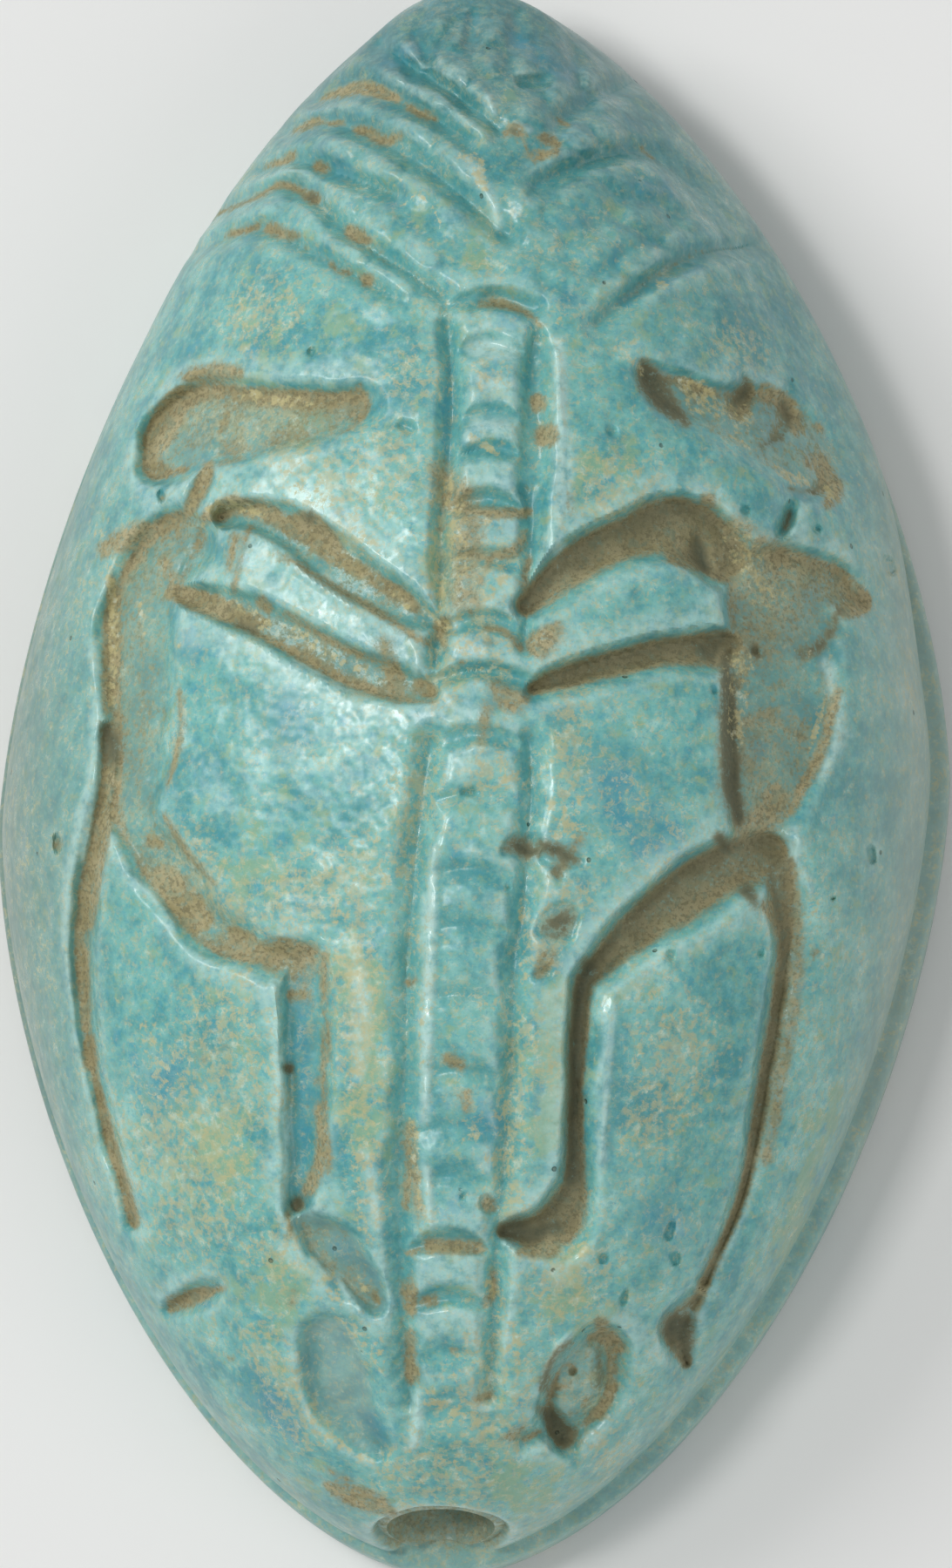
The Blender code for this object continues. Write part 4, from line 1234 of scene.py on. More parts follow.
@dataclass(frozen=True)
class FaienceGlaze:
    """Self-glazed quartz paste, fired turquoise and long buried.

    The eye sees a soft glossy turquoise skin, bluer where it pooled in the hollows, greener and
    duller where it weathered, paler where it ran thin over the lips, with brown earth packed in the
    cuts, threads and grains of cream lime crust, and pinholes from the firing. It turns darker teal
    towards the crown, and its colour also holds painted highlights on the lips and banks, a painted
    reflection on the right flank, and painted shade on the left edge, in the hollows of the earth and
    at the steep walls of the right monkey's cuts.
    """

    gloss: float = 0.19
    thin_gloss: float = 0.33
    lip_polish: float = 0.06
    flank_wear: float = 0.14
    dull: float = 0.6
    earthy: float = 0.85
    peel_height: float = 0.13
    grain_height: float = 0.02
    pinhole_depth: float = 0.05
    pinholes_per_mm: float = 1.35
    pinhole_seed: float = 5.0
    refraction: float = 1.5

    def make(self) -> bpy.types.Material:
        """Build the material.

        Returns:
            The finished glaze.
        """
        material = bpy.data.materials.new("fired turquoise faience glaze")
        material.use_nodes = True
        bench = Bench(material)
        self.mix_values(bench)
        color = self.coat(bench, linear(Tone.DEEP.value), SKIN)
        color = self.pack_earth(bench, color)
        color = self.grow_crust(bench, color)
        color = self.prick_pinholes(bench, color)
        bump = bench.add(Node.BUMP, 1.0, MM, self.relief(bench))
        shader = material.node_tree.nodes["Principled BSDF"]
        for name, made in (("Base Color", color), ("Roughness", self.roughness(bench)), ("Normal", bump)):
            material.node_tree.links.new(made, shader.inputs[name])
        shader.inputs["IOR"].default_value = self.refraction
        return material

    def coat(self, bench: Bench, color: Value, layers: Iterable[Layer]) -> bpy.types.NodeSocket:
        """Lay colours over one another.

        Args:
            bench: The node tree and its values.
            color: The ground, a colour or a socket.
            layers: The layers, from below to above.

        Returns:
            The colour of them all.
        """
        for layer in layers:
            share = bench.add(layer.rise, bench.values[layer.value], layer.low, layer.high, 0.0, layer.amount)
            color = bench.add(Node.TINT, share, color, linear(layer.tone.value))
        return color

    def mix_values(self, bench: Bench) -> None:
        """Mix the values that place the layers of the skin and the soil.

        Args:
            bench: The node tree and its values.
        """
        values = bench.values
        values["skin"] = bench.weigh(0.0, cloud=0.5, drift=0.9, mottle=0.45)
        values["greening"] = bench.weigh(0.0, fleck=1.0, greened=0.16)
        values["bluing"] = bench.weigh(0.0, fleck=1.0, pooled=-0.12)
        # Each of these marks is broken up by a pattern, which makes it weaker or stronger
        for name, mark, pattern, low, high, start, end in (
            ("thick skin", "thick", "mottle", 0.35, 0.65, 1.0, 0.6),
            ("pooled skin", "pooled", "mottle", 0.3, 0.65, 0.3, 0.85),
            # thin glaze and painted highlights, broken up by mottles
            ("thin glaze and highlight", "lip", "mottle", 0.3, 0.6, 0.4, 1.0),
            # painted shade and dark soil, broken up by grains
            ("painted_shade_and_dark_soil", "deep", "grain", 0.4, 0.65, 0.95, 0.65),
        ):
            broken = bench.add(Node.SOFT_RISE, values[pattern], low, high, start, end)
            values[name] = bench.add(Node.MULTIPLY, values[mark], broken)

    def pack_earth(self, bench: Bench, color: Value) -> bpy.types.NodeSocket:
        """Pack brown earth into the cuts, with a ragged, grainy edge and an olive film round it.

        Args:
            bench: The node tree and its values.
            color: The colour below.

        Returns:
            The colour with the earth.
        """
        values = bench.values
        ragged = bench.weigh(-1.65, earth=1.0, fleck=1.3, fine=2.0)
        values["packed"] = bench.add(Node.SOFT_RISE, ragged, 0.28, 0.78)
        soil = self.coat(bench, linear(Tone.EARTH.value), SOIL)
        film = bench.add(Node.SOFT_RISE, values["earth"], 0.1, 0.7, 0.0, 0.62)
        color = bench.add(Node.TINT, film, color, linear(Tone.EARTH_GREEN.value))
        strength = bench.add(Node.SOFT_RISE, values["earth"], 0.3, 1.0, 0.5, 0.9)
        return bench.add(Node.TINT, bench.add(Node.MULTIPLY, values["packed"], strength), color, soil)

    def grow_crust(self, bench: Bench, color: Value) -> bpy.types.NodeSocket:
        """Lay on the lime crust: a lace of curls about 0.2 mm wide, soft grains and cream clumps.

        Args:
            bench: The node tree and its values.
            color: The colour below.

        Returns:
            The colour with the crust.
        """
        add, values = bench.add, bench.values
        # A curl runs wherever the noise crosses its middle value
        across = add(Node.SIZE, add(Node.SUBTRACT, values["wander"], 0.5))
        curl = add(Node.SOFT_RISE, across, 0.07, 0.012)
        curl = add(Node.MULTIPLY, curl, add(Node.SOFT_RISE, values["speck"], 0.44, 0.56, 0.12, 1.0))
        patch = bench.weigh(0.0, crust=0.36, drift=0.8, cloud=0.4)
        lace = add(Node.MULTIPLY, curl, add(Node.SOFT_RISE, patch, 0.48, 0.82, 0.1, 0.85))
        grains = bench.weigh(0.0, speck=1.0, cloud=0.14, crust=0.15)
        crust = add(Node.LARGER, lace, add(Node.SOFT_RISE, grains, 0.6, 0.78, 0.0, 0.6))
        crust = bench.spare(crust, packed=0.85, thick=0.6, deep=0.8)
        clumps = add(Node.SOFT_RISE, bench.weigh(-1.2, speck=2.4, cream=0.62), 0.4, 0.8, 0.0, 0.85)
        values["lime"] = add(Node.LARGER, crust, clumps)
        white = add(Node.SOFT_RISE, values["mottle"], 0.5, 0.7)
        lime = add(Node.TINT, white, linear(Tone.CRUST.value), linear(Tone.CRUST_WHITE.value))
        return add(Node.TINT, add(Node.MULTIPLY, values["lime"], 0.85), color, lime)

    def prick_pinholes(self, bench: Bench, color: Value) -> bpy.types.NodeSocket:
        """Give a few cells of the glaze a dark hole at their middle, about 0.15 mm wide.

        Args:
            bench: The node tree and its values.
            color: The colour below.

        Returns:
            The colour with the pinholes.
        """
        add, seed = bench.add, self.pinhole_seed
        spot = add(Node.SHIFT, bench.place, (seed, -seed, 0.4 * seed))
        away = add(Node.CELLS, spot, self.pinholes_per_mm)
        chosen = add(Node.SPLIT, away.node.outputs["Color"])
        few = add(Node.SOFT_RISE, chosen, 0.84, 0.86)
        bench.values["pin"] = add(Node.MULTIPLY, add(Node.SOFT_RISE, away, 0.10, 0.05), few)
        return self.coat(bench, color, [wash(Tone.PINHOLE, "pin", 0.65)])

    def roughness(self, bench: Bench) -> bpy.types.NodeSocket:
        """Bright glaze, dull crust and duller earth.

        Args:
            bench: The node tree and its values.

        Returns:
            The roughness.
        """
        add, values = bench.add, bench.values
        rough = add(Node.SOFT_RISE, values["skin"], 0.8, 1.2, self.thin_gloss, self.gloss)
        rough = add(Node.WEIGH, values["lip"], -self.lip_polish, rough)
        rough = add(Node.WEIGH, values["greying_and_reflection"], self.flank_wear, rough)
        for cover, least in (("lime", self.dull), ("packed", self.earthy)):
            rough = add(Node.LARGER, rough, add(Node.MULTIPLY, values[cover], least))
        return rough

    def relief(self, bench: Bench) -> bpy.types.NodeSocket:
        """Orange peel of the glaze, grainy earth and sunk pinholes.

        Args:
            bench: The node tree and its values.

        Returns:
            The height in millimetres.
        """
        add, values = bench.add, bench.values
        peel = bench.spare(add(Node.MULTIPLY, values["peel"], self.peel_height), thick=0.5)
        grainy = add(Node.MULTIPLY, values["grain"], values["earth"])
        height = add(Node.WEIGH, grainy, self.grain_height, peel)
        return add(Node.WEIGH, values["pin"], -self.pinhole_depth, height)


@dataclass(frozen=True)
class Weathering:
    """Where earth, crust and wear lie on the bead, where its glaze turns darker teal, where it runs thin,
    and where painted shade, painted highlights and a painted reflection go.

    Bends are per metre. Places across and along are shares of half the width and half the length.
    """

    form: BeadForm
    floor_soil: FloorSoil = FloorSoil(0.02 * MM, 0.22 * MM, 0.55, 0.0, 1.1, 1.2)
    # painted shade: dark soil colour that gathers towards the steep walls
    shaded_wall_soil: FloorSoil = FloorSoil(0.08 * MM, 0.3 * MM, 1.0, 0.38, 0.9, 1.0)
    above_plate: Rise = (0.0, 0.4 * MM)
    fine_passes: int = 2
    broad_passes: int = 12
    fine_hollow: Rise = (0.0, 6000.0)
    broad_hollow: Rise = (100.0, 1600.0)
    fine_lip: Rise = (0.0, 6500.0)
    broad_lip: Rise = (250.0, 1300.0)
    fine_hollow_share: float = 0.8
    broad_lip_share: float = 0.6
    crown_lip: Rise = (0.36, 0.24)
    crown_lip_loss: float = 0.45
    crown: Rise = (0.5, 0.4)
    crown_tilt: float = 0.2
    crown_share: float = 0.6
    tip: Rise = (0.76, 0.16)
    tip_share: float = 0.4
    # painted reflection: the right flank greyer, as glaze at a grazing angle reflects the grey surround
    right_flank_reflection: Rise = (0.7, 0.28)
    right_flank_reflection_share: float = 0.9
    # painted shade towards the left edge
    left_edge_shade_rise: Rise = (0.66, 0.35)
    low_flank: Rise = (0.0, 3.5 * MM)
    low_flank_share: float = 0.5
    greyed_share: float = 0.65
    packed_gain: float = 3.0
    hollow_earth: float = 0.45
    mouth_earth: float = 0.55
    stain: Cover = (0.85, 0.26 * MM)
    stain_halo: Cover = (0.26, 1.1 * MM)
    dark_soil_and_shadow_cover: Cover = (0.9, 0.36 * MM)
    film: Cover = (0.72, FADING)
    # painted highlights along the burrs and the banks
    burr_highlight: Cover = (1.0, 0.24 * MM)
    bank_highlight: Cover = (0.9, 0.3 * MM)
    cream: Cover = (1.0, 0.1 * MM)
    cream_clump: Cover = (0.9, FADING)
    dark_soil_and_shadow_rim: float = 0.4 * MM
    grey_rim: float = 0.2 * MM
    past_mouth: Rise = (-0.05 * MM, 0.3 * MM)

    def strongest(self, x: np.ndarray, y: np.ndarray, *kinds: tuple[list[Path], Cover]) -> np.ndarray:
        """Lay several kinds of mark, of which the strongest counts at each point.

        Args:
            x, y: The plan points.
            *kinds: The paths of each kind and how it covers.

        Returns:
            The strength at each point.
        """
        return np.maximum.reduce([share * spread(self.form, paths, x, y, rim) for paths, (share, rim) in kinds])

    def earth(self, x: np.ndarray, y: np.ndarray) -> tuple[np.ndarray, np.ndarray]:
        """Earth on the floors of the cuts, in specks and clods, and in a thin film.

        Args:
            x, y: The plan points.

        Returns:
            The earth at each point, and the part of it that is packed on the floors.
        """
        floors = [floor for figure in FIGURES for floor in figure.values()]
        packed = self.floor_soil.lay(self.form, floors, x, y)
        # the painted shadows of the dark soil table get earth colour here too
        soil, dark = flat(EARTH_MARKS), flat(DARK_SOIL_AND_SHADOW)
        loose = self.strongest(
            x, y, (soil, self.stain), (soil, self.stain_halo), (dark, self.dark_soil_and_shadow_cover), (EARTH_FILM, self.film)
        )
        return np.maximum(packed, loose), packed

    def painted_shade_and_dark_soil(self, x: np.ndarray, y: np.ndarray) -> np.ndarray:
        """Painted shade in dark soil colour, deepest at the steep walls of the right monkey, with the dark soil of
        the chips and pits.

        Args:
            x, y: The plan points.

        Returns:
            The share at each point.
        """
        floors = [(share, path) for share, figure in SHADED_WALL_FIGURES for path in strokes_of(figure)]
        dark = spread(self.form, flat(DARK_SOIL_AND_SHADOW), x, y, self.dark_soil_and_shadow_rim)
        return np.maximum(dark, self.shaded_wall_soil.lay(self.form, floors, x, y))

    def bends(self, bead: bpy.types.Object, x: np.ndarray, y: np.ndarray) -> tuple[np.ndarray, np.ndarray]:
        """Find the hollows and the lips of the carving from how its surface bends, and add painted highlights along
        the burrs and banks.

        Args:
            bead: The carved bead.
            x, y: The plan of its vertices.

        Returns:
            How hollow each vertex lies, and how far it is a lip on which the glaze is thin and pale, with painted
            highlights.
        """
        fine, broad = (curvature(bead.data, passes) for passes in (self.fine_passes, self.broad_passes))
        hollow = np.maximum(self.fine_hollow_share * ramp(-fine, *self.fine_hollow), ramp(-broad, *self.broad_hollow))
        lip = np.maximum(ramp(fine, *self.fine_lip), self.broad_lip_share * ramp(broad, *self.broad_lip))
        lip = lip * (1.0 - self.crown_lip_loss * ramp(y / (self.form.length / 2), *self.crown_lip))
        # painted highlights along the burrs and banks, laid where the glaze catches the light
        painted_highlights = self.strongest(x, y, (flat(BURRS), self.burr_highlight), (HIGHLIGHT_BANKS, self.bank_highlight))
        return hollow, np.maximum(lip, painted_highlights)

    def write(self, bead: bpy.types.Object, past_mouth: np.ndarray) -> None:
        """Write the attributes that the glaze reads.

        Args:
            bead: The carved bead.
            past_mouth: How far each vertex lies from the bore's axis, less the mouth's radius.
        """
        form = self.form
        x, y, z = coordinates(bead.data).T
        across, along, height = x / (form.width / 2), y / (form.length / 2), z - form.base_thickness
        up = ramp(height, *self.above_plate)
        earth, packed = self.earth(x, y)
        hollow, lip = self.bends(bead, x, y)
        hollow_earth = self.hollow_earth * hollow * smooth_step(packed * self.packed_gain)
        # the glaze darker teal towards the crown and the tip
        thick = self.crown_share * ramp(along + self.crown_tilt * across, *self.crown)
        # painted reflection: greyer towards the right flank; also greyer low on the flanks and on the greyed floors
        grey = self.right_flank_reflection_share * ramp(across, *self.right_flank_reflection)
        grey = grey + self.low_flank_share * (1.0 - ramp(height, *self.low_flank))
        grey = grey + self.greyed_share * spread(form, GREYED_FLOORS, x, y, self.grey_rim)
        marks = {
            Mark.EARTH: np.maximum(
                up * (earth + hollow_earth), self.mouth_earth * (1.0 - ramp(past_mouth, *self.past_mouth))
            ),
            # painted shade at the steep walls, with dark soil in chips and pits
            Mark.DEEP: up * self.painted_shade_and_dark_soil(x, y),
            Mark.CREAM: up * self.strongest(x, y, (CREAM, self.cream), (CREAM_CLUMPS, self.cream_clump)),
            Mark.CRUST: up * spread(form, CRUST, x, y, FADING),
            Mark.POOLED: up * spread(form, POOLED, x, y, FADING),
            Mark.GREENED: up * spread(form, GREENED, x, y, FADING),
            Mark.LIP: up * lip,
            Mark.HOLLOW: hollow,
            Mark.FLANK: grey,
            # painted shade towards the left edge
            Mark.LEFT_FLANK: ramp(-across, *self.left_edge_shade_rise),
            Mark.THICK: thick + self.tip_share * ramp(along, *self.tip),
        }
        for mark, values in marks.items():
            layer = bead.data.attributes.new(mark.value, "FLOAT", "POINT")
            layer.data.foreach_set("value", np.clip(values, 0.0, 1.0).astype(np.float32))


@dataclass(frozen=True)
class Overhang:
    """The foot of the dome swells out over the plate, on the right side of the crown.

    Angles are in degrees round the plan, from +X to +Y.
    """

    reach: float = 0.00042
    begin: Rise = (6.0, 20.0)
    crown: Rise = (72.0, 40.0)
    crown_loss: float = 0.75
    finish: Rise = (120.0, 40.0)
    foot: Rise = (0.0, 0.3 * MM)
    shoulder: Rise = (0.7 * MM, 2.6 * MM)

    def swell(self, turn: np.ndarray, rise: np.ndarray) -> np.ndarray:
        """How far the dome swells out.

        Args:
            turn: Angle round the plan, in radians.
            rise: Height above the plate.

        Returns:
            The outward swell in metres.
        """
        around = np.degrees(turn)
        side = ramp(around, *self.begin) * (1.0 - self.crown_loss * ramp(around, *self.crown))
        side = side * (1.0 - ramp(around, *self.finish))
        low = ramp(rise, *self.foot) * (1.0 - ramp(rise, *self.shoulder))
        return self.reach * side * low


@dataclass(frozen=True)
class BluntTip:
    """The blunt tip of the crown stands out over the upper mouth of the bore."""

    reach: float = 0.00044
    share: float = 0.8
    bearing: float = 90.0
    spread: Rise = (12.0, 16.0)
    foot: Rise = (0.0, 0.3 * MM)
    shoulder: Rise = (2.2 * MM, 2.2 * MM)

    def push(self, turn: np.ndarray, rise: np.ndarray, gap: np.ndarray) -> np.ndarray:
        """How far the tip is pushed out over its gap to the plate's outline.

        Args:
            turn: Angle round the plan, in radians.
            rise: Height above the plate.
            gap: Distance to the plate's outline.

        Returns:
            The push as a share of the gap.
        """
        near = 1.0 - ramp(np.abs(np.degrees(turn) - self.bearing), *self.spread)
        near = near * ramp(rise, *self.foot) * (1.0 - ramp(rise, *self.shoulder))
        return near * np.minimum(self.share * gap, self.reach) / gap


@dataclass
class AmuletBead:
    """The bead itself: one moulded, carved and glazed piece with a string bore."""

    form: BeadForm = field(default_factory=BeadForm)
    overhang: Overhang = field(default_factory=Overhang)
    blunt_tip: BluntTip = field(default_factory=BluntTip)
    finish: FaienceGlaze = field(default_factory=FaienceGlaze)
    bore_radius: float = 0.00125
    bore_sides: int = 64
    bore_rise_foot: float = 0.0012
    bore_rise_top: float = 0.0006
    mouth_radius: float = 0.00155
    mouth_length: float = 0.0014
    mouth_rounding: float = 0.0003
    mouth_tips: Rise = (0.80, 0.05)
    ball_divisions: int = 8
    carving_fade: float = 12.0
    rounding_steps: int = 4
    groove_bend: tuple[tuple[float, float], ...] = ((0.8, 0.25), (1.0, 0.5), (0.8, 0.8))
    smooth_below: float = 50.0
    triangles: int = 176000

    def __post_init__(self) -> None:
        """Take up the carving and the weathering that belong to the form."""
        self.carving = Carving(self.form)
        self.weathering = Weathering(self.form)

    def build(self) -> bpy.types.Object:
        """Model and dress the bead.

        Returns:
            The finished piece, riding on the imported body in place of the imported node.
        """
        bead = self.block_out()
        self.raise_back(bead)
        self.draw_plate(bead)
        self.soften_mouths(bead)
        self.thin_out(bead)
        self.drill(bead)
        self.read_marks(bead)
        bead.data.materials.clear()
        bead.data.materials.append(self.finish.make())
        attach(bead, "root")
        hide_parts(BEAD_NODE)
        LOG.info("%s: %d faces", bead.name, len(bead.data.polygons))
        return bead

    def block_out(self) -> bpy.types.Object:
        """Start from a fine ball, keep its upper half and divide it once more.

        Returns:
            The half ball.
        """
        bpy.ops.object.select_all(action="DESELECT")
        bpy.ops.mesh.primitive_ico_sphere_add(subdivisions=self.ball_divisions, radius=self.form.length / 2)
        bead = bpy.context.object
        bead.name = bead.data.name = "glazed_bead"
        bpy.ops.object.mode_set(mode="EDIT")
        bpy.ops.mesh.select_all(action="SELECT")
        bpy.ops.mesh.bisect(plane_co=(0.0, 0.0, 0.0), plane_no=(0.0, 0.0, 1.0), clear_inner=True)
        bpy.ops.mesh.select_all(action="SELECT")
        bpy.ops.mesh.subdivide(number_cuts=1)
        bpy.ops.object.mode_set(mode="OBJECT")
        return bead

    def raise_back(self, bead: bpy.types.Object) -> None:
        """Pull the half ball to the bead's plan and dome, and press the carving into it.

        Args:
            bead: The half ball.
        """
        form = self.form
        points = coordinates(bead.data) / (form.length / 2)
        plan = np.hypot(points[:, 0], points[:, 1])
        turn = np.arctan2(points[:, 1], points[:, 0])
        share = np.clip(np.arctan2(plan, np.maximum(points[:, 2], 0.0)), 0.0, math.pi / 2)
        share = np.sin(share)
        across, along = form.inset_scale(form.dome_inset)
        edge_y = form.length / 2 * np.sin(turn)
        edge_x = np.where(np.cos(turn) >= 0, form.outline_x(edge_y, 1), form.outline_x(edge_y, -1))
        centre = float(form.crest_x(np.zeros(1))[0])
        x = centre + (edge_x * across + form.dome_shift - centre) * share
        y = edge_y * along * share
        rise = form.dome_rise(x, y)
        fade = smooth_step(rise / form.dome_height * self.carving_fade)
        bulge = self.overhang.swell(turn, rise)
        rise = rise - self.carving.depth(x, y) * form.slope_gain(x, y) * fade
        x = x + bulge * np.cos(turn)
        y = y + bulge * np.sin(turn)
        gap_x, gap_y = edge_x - x, edge_y - y
        push = self.blunt_tip.push(turn, rise, np.maximum(np.hypot(gap_x, gap_y), 1e-7))
        move_to(bead.data, np.column_stack([x + push * gap_x, y + push * gap_y, form.base_thickness + rise]))

    def plate_profile(self) -> list[tuple[float, float]]:
        """Draw the edge of the base plate, from the girdle groove down to the floor.

        Returns:
            The inset and the height of each step.
        """
        form, radius = self.form, self.form.edge_rounding
        top = form.base_thickness - form.groove_width
        quarter = [math.pi / 2 * step / self.rounding_steps for step in range(self.rounding_steps + 1)]
        groove = [
            (form.dome_inset + inwards * form.groove_depth, form.base_thickness - down * form.groove_width)
            for inwards, down in self.groove_bend
        ]
        upper = [(radius * (1 - math.sin(a)), top - radius * (1 - math.cos(a))) for a in quarter]
        lower = [(radius * (1 - math.cos(a)), radius * (1 - math.sin(a))) for a in quarter]
        return groove + upper + lower

    def draw_plate(self, bead: bpy.types.Object) -> None:
        """Extrude the open rim of the dome down the plate's profile and close the underside.

        Args:
            bead: The carved dome.
        """
        form = self.form
        bpy.ops.object.mode_set(mode="EDIT")
        bpy.ops.mesh.select_mode(type="EDGE")
        bpy.ops.mesh.select_all(action="DESELECT")
        bpy.ops.mesh.select_non_manifold(
            extend=False, use_wire=False, use_multi_face=False, use_non_contiguous=False, use_verts=False
        )
        inset, height, shift = form.dome_inset, form.base_thickness, -form.dome_shift
        for next_inset, next_height in self.plate_profile():
            bpy.ops.mesh.extrude_region_move(TRANSFORM_OT_translate={"value": (shift, 0.0, next_height - height)})
            before, after = form.inset_scale(inset), form.inset_scale(next_inset)
            bpy.ops.transform.resize(
                value=(after[0] / before[0], after[1] / before[1], 1.0), center_override=(0.0, 0.0, 0.0)
            )
            inset, height, shift = next_inset, next_height, 0.0
        bpy.ops.mesh.edge_face_add()
        bpy.ops.mesh.select_all(action="SELECT")
        bpy.ops.mesh.normals_make_consistent(inside=False)
        bpy.ops.object.mode_set(mode="OBJECT")

    def bore_height(self, y: float | np.ndarray) -> float | np.ndarray:
        """Height of the bore's axis at a station: it dips a little towards the crown."""
        fall = (self.bore_rise_foot - self.bore_rise_top) / self.form.length
        return self.form.base_thickness + self.bore_rise_foot - fall * (y + self.form.length / 2)

    def from_bore(self, points: np.ndarray) -> np.ndarray:
        """Distance of points from the bore's axis."""
        x, y, z = points.T
        return np.hypot(x - self.form.tip_shift, z - self.bore_height(y))

    def soften_mouths(self, bead: bpy.types.Object) -> None:
        """Draw the skin in round each mouth of the bore, as the glaze rounds it.

        Args:
            bead: The bead, not yet drilled.
        """
        points = coordinates(bead.data)
        y = points[:, 1]
        past = self.mouth_radius + self.mouth_rounding - self.from_bore(points)
        share = np.clip(past / self.mouth_rounding, 0.0, 1.0)
        pull = self.mouth_rounding * (1.0 - np.sqrt(1.0 - share**2))
        points[:, 1] = y - np.sign(y) * pull * ramp(np.abs(y) / (self.form.length / 2), *self.mouth_tips)
        move_to(bead.data, points)

    def thin_out(self, bead: bpy.types.Object) -> None:
        """Let flat places keep fewer faces than the carving.

        Args:
            bead: The bead, not yet drilled.
        """
        dense = sum(len(face.vertices) - 2 for face in bead.data.polygons)
        thin = bead.modifiers.new("fewer faces", "DECIMATE")
        thin.ratio = self.triangles / dense
        apply_modifier(bead, thin)

    def drill(self, bead: bpy.types.Object) -> None:
        """Cut the lengthwise bore with a turned bar that widens at both mouths.

        Args:
            bead: The bead.
        """
        bar = self.turn_bar()
        cut = bead.modifiers.new("string bore", "BOOLEAN")
        cut.operation = "DIFFERENCE"
        cut.solver = "EXACT"
        cut.object = bar
        apply_modifier(bead, cut)
        bpy.data.objects.remove(bar, do_unlink=True)
        select_only(bead)
        bpy.ops.object.shade_smooth_by_angle(angle=math.radians(self.smooth_below))

    def turn_bar(self) -> bpy.types.Object:
        """Turn the bar that has the bore's shape, and bend it to the bore's dip.

        Returns:
            The bar.
        """
        half = self.form.length / 2
        middle = float(self.bore_height(0.0))
        bpy.ops.object.select_all(action="DESELECT")
        bpy.ops.mesh.primitive_cylinder_add(
            vertices=self.bore_sides,
            radius=self.bore_radius,
            depth=2 * (half - self.mouth_length),
            location=(self.form.tip_shift, 0.0, middle),
            rotation=(math.pi / 2, 0.0, 0.0),
        )
        bar = bpy.context.object
        bpy.ops.object.transform_apply(location=True, rotation=True, scale=True)
        widen = self.mouth_radius / self.bore_radius
        for side in (-1, 1):
            end = side * (half - self.mouth_length)
            for face in bar.data.polygons:
                face.select = face.normal.y * side > 0.9
            for vertex in bar.data.vertices:
                vertex.select = abs(vertex.co.y - end) < 0.01 * MM
            for edge in bar.data.edges:
                edge.select = all(bar.data.vertices[v].select for v in edge.vertices)
            bpy.ops.object.mode_set(mode="EDIT")
            bpy.ops.mesh.select_mode(type="FACE")
            bpy.ops.mesh.extrude_region_move(
                TRANSFORM_OT_translate={"value": (0.0, side * 2 * self.mouth_length, 0.0)}
            )
            bpy.ops.transform.resize(
                value=(widen, 1.0, widen), center_override=(self.form.tip_shift, end, middle)
            )
            bpy.ops.object.mode_set(mode="OBJECT")
        points = coordinates(bar.data)
        points[:, 2] += self.bore_height(points[:, 1]) - middle
        move_to(bar.data, points)
        return bar

    def read_marks(self, bead: bpy.types.Object) -> None:
        """Write the attributes that the glaze reads: stains, crust, pools, lips and hollows, and painted shade,
        highlights and reflection.
        """
        self.weathering.write(bead, self.from_bore(coordinates(bead.data)) - self.mouth_radius)


def coordinates(mesh: bpy.types.Mesh) -> np.ndarray:
    """The mesh's vertex coordinates as rows of three."""
    flat_rows = np.empty(len(mesh.vertices) * 3, np.float32)
    mesh.vertices.foreach_get("co", flat_rows)
    return flat_rows.reshape(-1, 3).astype(float)


def move_to(mesh: bpy.types.Mesh, points: np.ndarray) -> None:
    """Move the mesh's vertices to rows of coordinates."""
    mesh.vertices.foreach_set("co", points.ravel())
    mesh.update()


def curvature(mesh: bpy.types.Mesh, passes: int) -> np.ndarray:
    """How strongly the surface bends at each vertex.

    Args:
        mesh: The mesh.
        passes: How often the values are evened out with their neighbours.

    Returns:
        The bend per metre, above 0 on a lip and below 0 in a hollow.
    """
    points = coordinates(mesh)
    normals = np.empty(len(mesh.vertices) * 3, np.float32)
    mesh.vertices.foreach_get("normal", normals)
    normals = normals.reshape(-1, 3).astype(float)
    ends = np.empty(len(mesh.edges) * 2, np.int32)
    mesh.edges.foreach_get("vertices", ends)
    first, second = ends.reshape(-1, 2).T
    gap = points[first] - points[second]
    bend = ((normals[first] - normals[second]) * gap).sum(axis=1) / np.maximum((gap**2).sum(axis=1), 1e-12)
    count = np.bincount(first, minlength=len(points)) + np.bincount(second, minlength=len(points))

    def gather(one: np.ndarray, other: np.ndarray) -> np.ndarray:
        """Mean over each vertex's edges of what the edges' first and second ends take up."""
        total = np.bincount(first, one, len(points)) + np.bincount(second, other, len(points))
        return total / np.maximum(count, 1)

    values = gather(bend, bend)
    for _ in range(passes):
        values = 0.5 * values + 0.5 * gather(values[second], values[first])
    return values


def select_only(piece: bpy.types.Object) -> None:
    """Select one piece and nothing else."""
    bpy.ops.object.select_all(action="DESELECT")
    piece.select_set(True)
    bpy.context.view_layer.objects.active = piece


def apply_modifier(piece: bpy.types.Object, modifier: bpy.types.Modifier) -> None:
    """Apply a modifier to a piece, as by hand."""
    select_only(piece)
    bpy.ops.object.modifier_apply(modifier=modifier.name)


@dataclass(frozen=True)
class Lamp:
    """A square soft lamp: degrees from +X towards +Y and above the floor, metres and watts."""

    name: str
    azimuth: float
    height: float
    size: float
    power: float


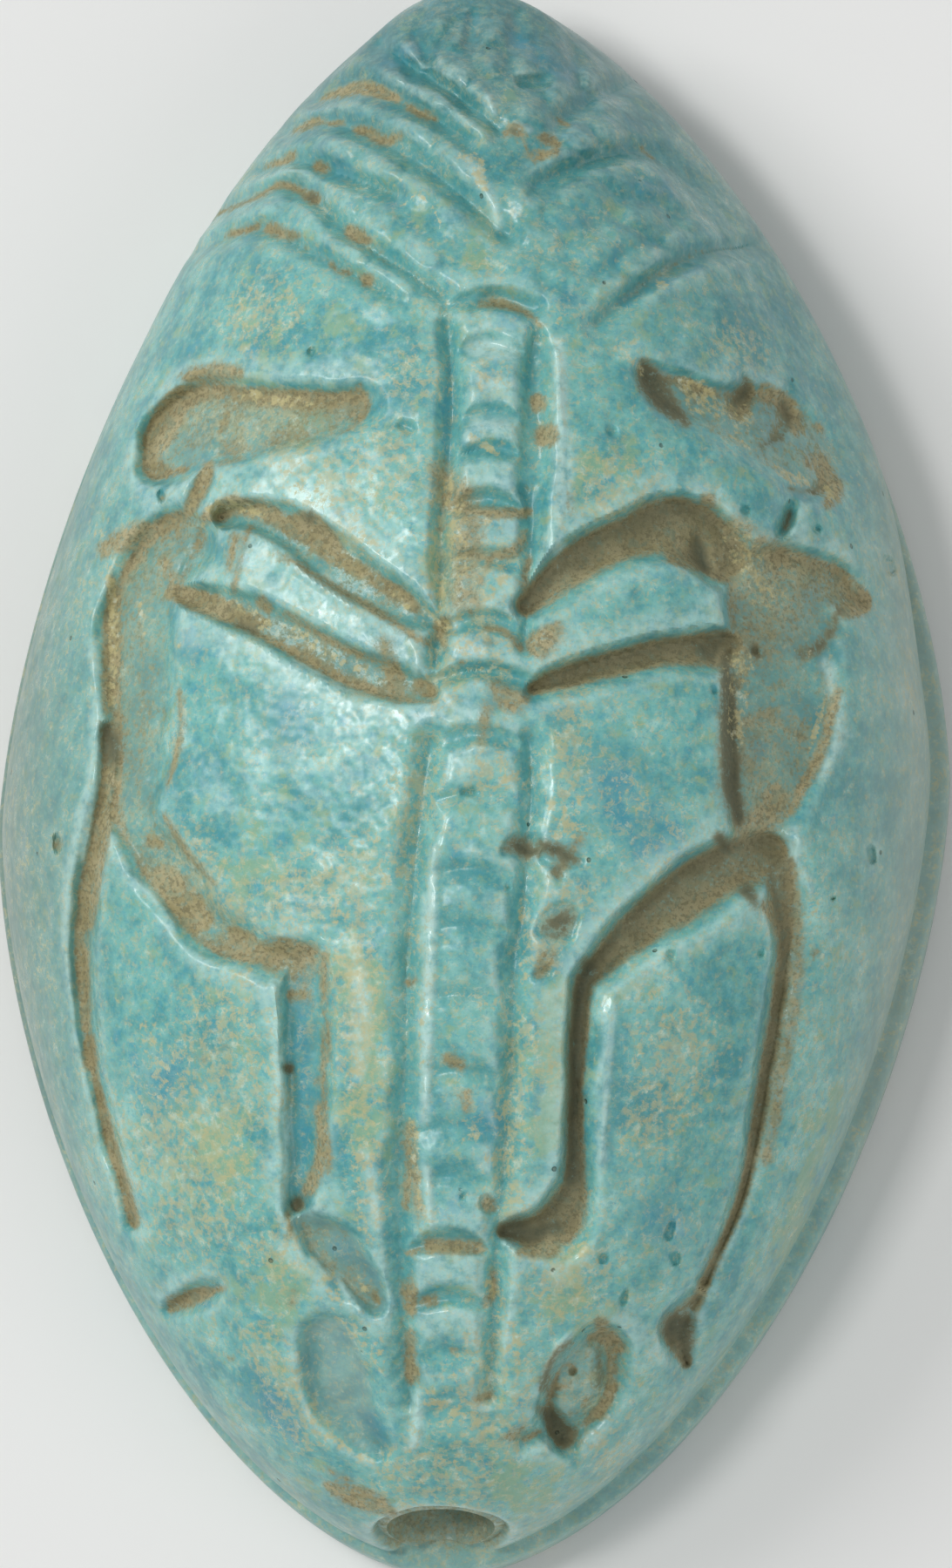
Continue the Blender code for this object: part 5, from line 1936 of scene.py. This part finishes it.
@dataclass
class Studio:
    """A pale floor and soft light from the upper left, with a wide pale surround."""

    floor_size: float = 0.8
    floor_gap: float = 0.00001  # a hair, so that the floor and the flat underside share no plane
    floor_color: str = "#f1f0ee"
    floor_roughness: float = 0.9
    surround: float = 0.42
    surround_color: str = "#f4f6f8"
    lamps: tuple[Lamp, ...] = (
        Lamp("key lamp", 156.0, 44.0, 0.13, 0.38),
        Lamp("top lamp", 166.0, 69.0, 0.06, 0.28),
        Lamp("fill lamp", 318.0, 40.0, 0.30, 0.17),
    )
    lamp_distance: float = 0.34

    def build(self) -> None:
        """Set up the floor, the surround and the lamps."""
        bpy.ops.object.select_all(action="DESELECT")
        bpy.ops.mesh.primitive_plane_add(size=self.floor_size, location=(0.0, 0.0, -self.floor_gap))
        floor = bpy.context.object
        floor.name = "studio_floor"
        floor.data.materials.append(self.floor_finish())
        world = bpy.data.worlds.new("pale surround")
        world.use_nodes = True
        shade = world.node_tree.nodes["Background"]
        shade.inputs["Color"].default_value = linear(self.surround_color)
        shade.inputs["Strength"].default_value = self.surround
        bpy.context.scene.world = world
        for lamp in self.lamps:
            self.hang(lamp)
        bpy.context.scene.view_settings.view_transform = "Standard"
        LOG.info("%s and %d lamps", floor.name, len(self.lamps))

    def floor_finish(self) -> bpy.types.Material:
        """Make the matte pale card of the floor.

        Returns:
            The finished card.
        """
        material = bpy.data.materials.new("pale matte card")
        material.use_nodes = True
        shader = material.node_tree.nodes["Principled BSDF"]
        shader.inputs["Base Color"].default_value = linear(self.floor_color)
        shader.inputs["Roughness"].default_value = self.floor_roughness
        return material

    def hang(self, lamp: Lamp) -> None:
        """Hang a square soft lamp that looks at the bead.

        Args:
            lamp: Where it hangs, how wide it is and how bright.
        """
        around, above = math.radians(lamp.azimuth), math.radians(lamp.height)
        bearing = Vector((math.cos(around) * math.cos(above), math.sin(around) * math.cos(above), math.sin(above)))
        light = bpy.data.lights.new(lamp.name, "AREA")
        light.energy = lamp.power
        light.size = lamp.size
        hung = bpy.data.objects.new(lamp.name, light)
        bpy.context.scene.collection.objects.link(hung)
        hung.location = bearing * self.lamp_distance
        hung.rotation_mode = "QUATERNION"
        hung.rotation_quaternion = bearing.to_track_quat("Z", "Y")


@dataclass(frozen=True)
class Camera:
    """A long lens that looks straight down on the bead, a little from below and from the right."""

    yaw: float = 2.0
    pitch: float = 5.0
    roll: float = -1.129
    distance: float = 0.450
    aim_height: float = 0.005
    frame_height: float = 1800.0
    focal_pixels: float = 21689.0
    right_of_aim: float = 0.000152
    below_aim: float = 0.000286
    film: float = 36.0
    nearest: float = 0.05
    farthest: float = 10.0

    def place(self) -> None:
        """Make the camera and hand it to the scene."""
        back = Vector((math.tan(math.radians(self.yaw)), -math.tan(math.radians(self.pitch)), 1.0)).normalized()
        level = Vector((0.0, 1.0, 0.0)).cross(back).normalized()
        upright = back.cross(level)
        roll = math.radians(self.roll)
        right = math.cos(roll) * level - math.sin(roll) * upright
        up = math.sin(roll) * level + math.cos(roll) * upright
        eye = Vector((0.0, 0.0, self.aim_height)) + back * self.distance
        eye = eye + right * self.right_of_aim - up * self.below_aim
        lens = bpy.data.cameras.new("long lens")
        lens.sensor_width = self.film
        lens.lens = self.focal_pixels / self.frame_height * self.film
        lens.clip_start = self.nearest
        lens.clip_end = self.farthest
        camera = bpy.data.objects.new("camera", lens)
        bpy.context.scene.collection.objects.link(camera)
        turned = Matrix((right, up, back)).transposed().to_4x4()
        turned.translation = eye
        camera.matrix_world = turned
        bpy.context.scene.camera = camera
        LOG.info("%s: %.0f mm", camera.name, lens.lens)


def main() -> None:
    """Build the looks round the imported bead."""
    logging.basicConfig(level=logging.INFO, format="%(name)s: %(message)s")
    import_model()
    Camera().place()
    AmuletBead().build()
    Studio().build()


if __name__ == "__main__":
    main()
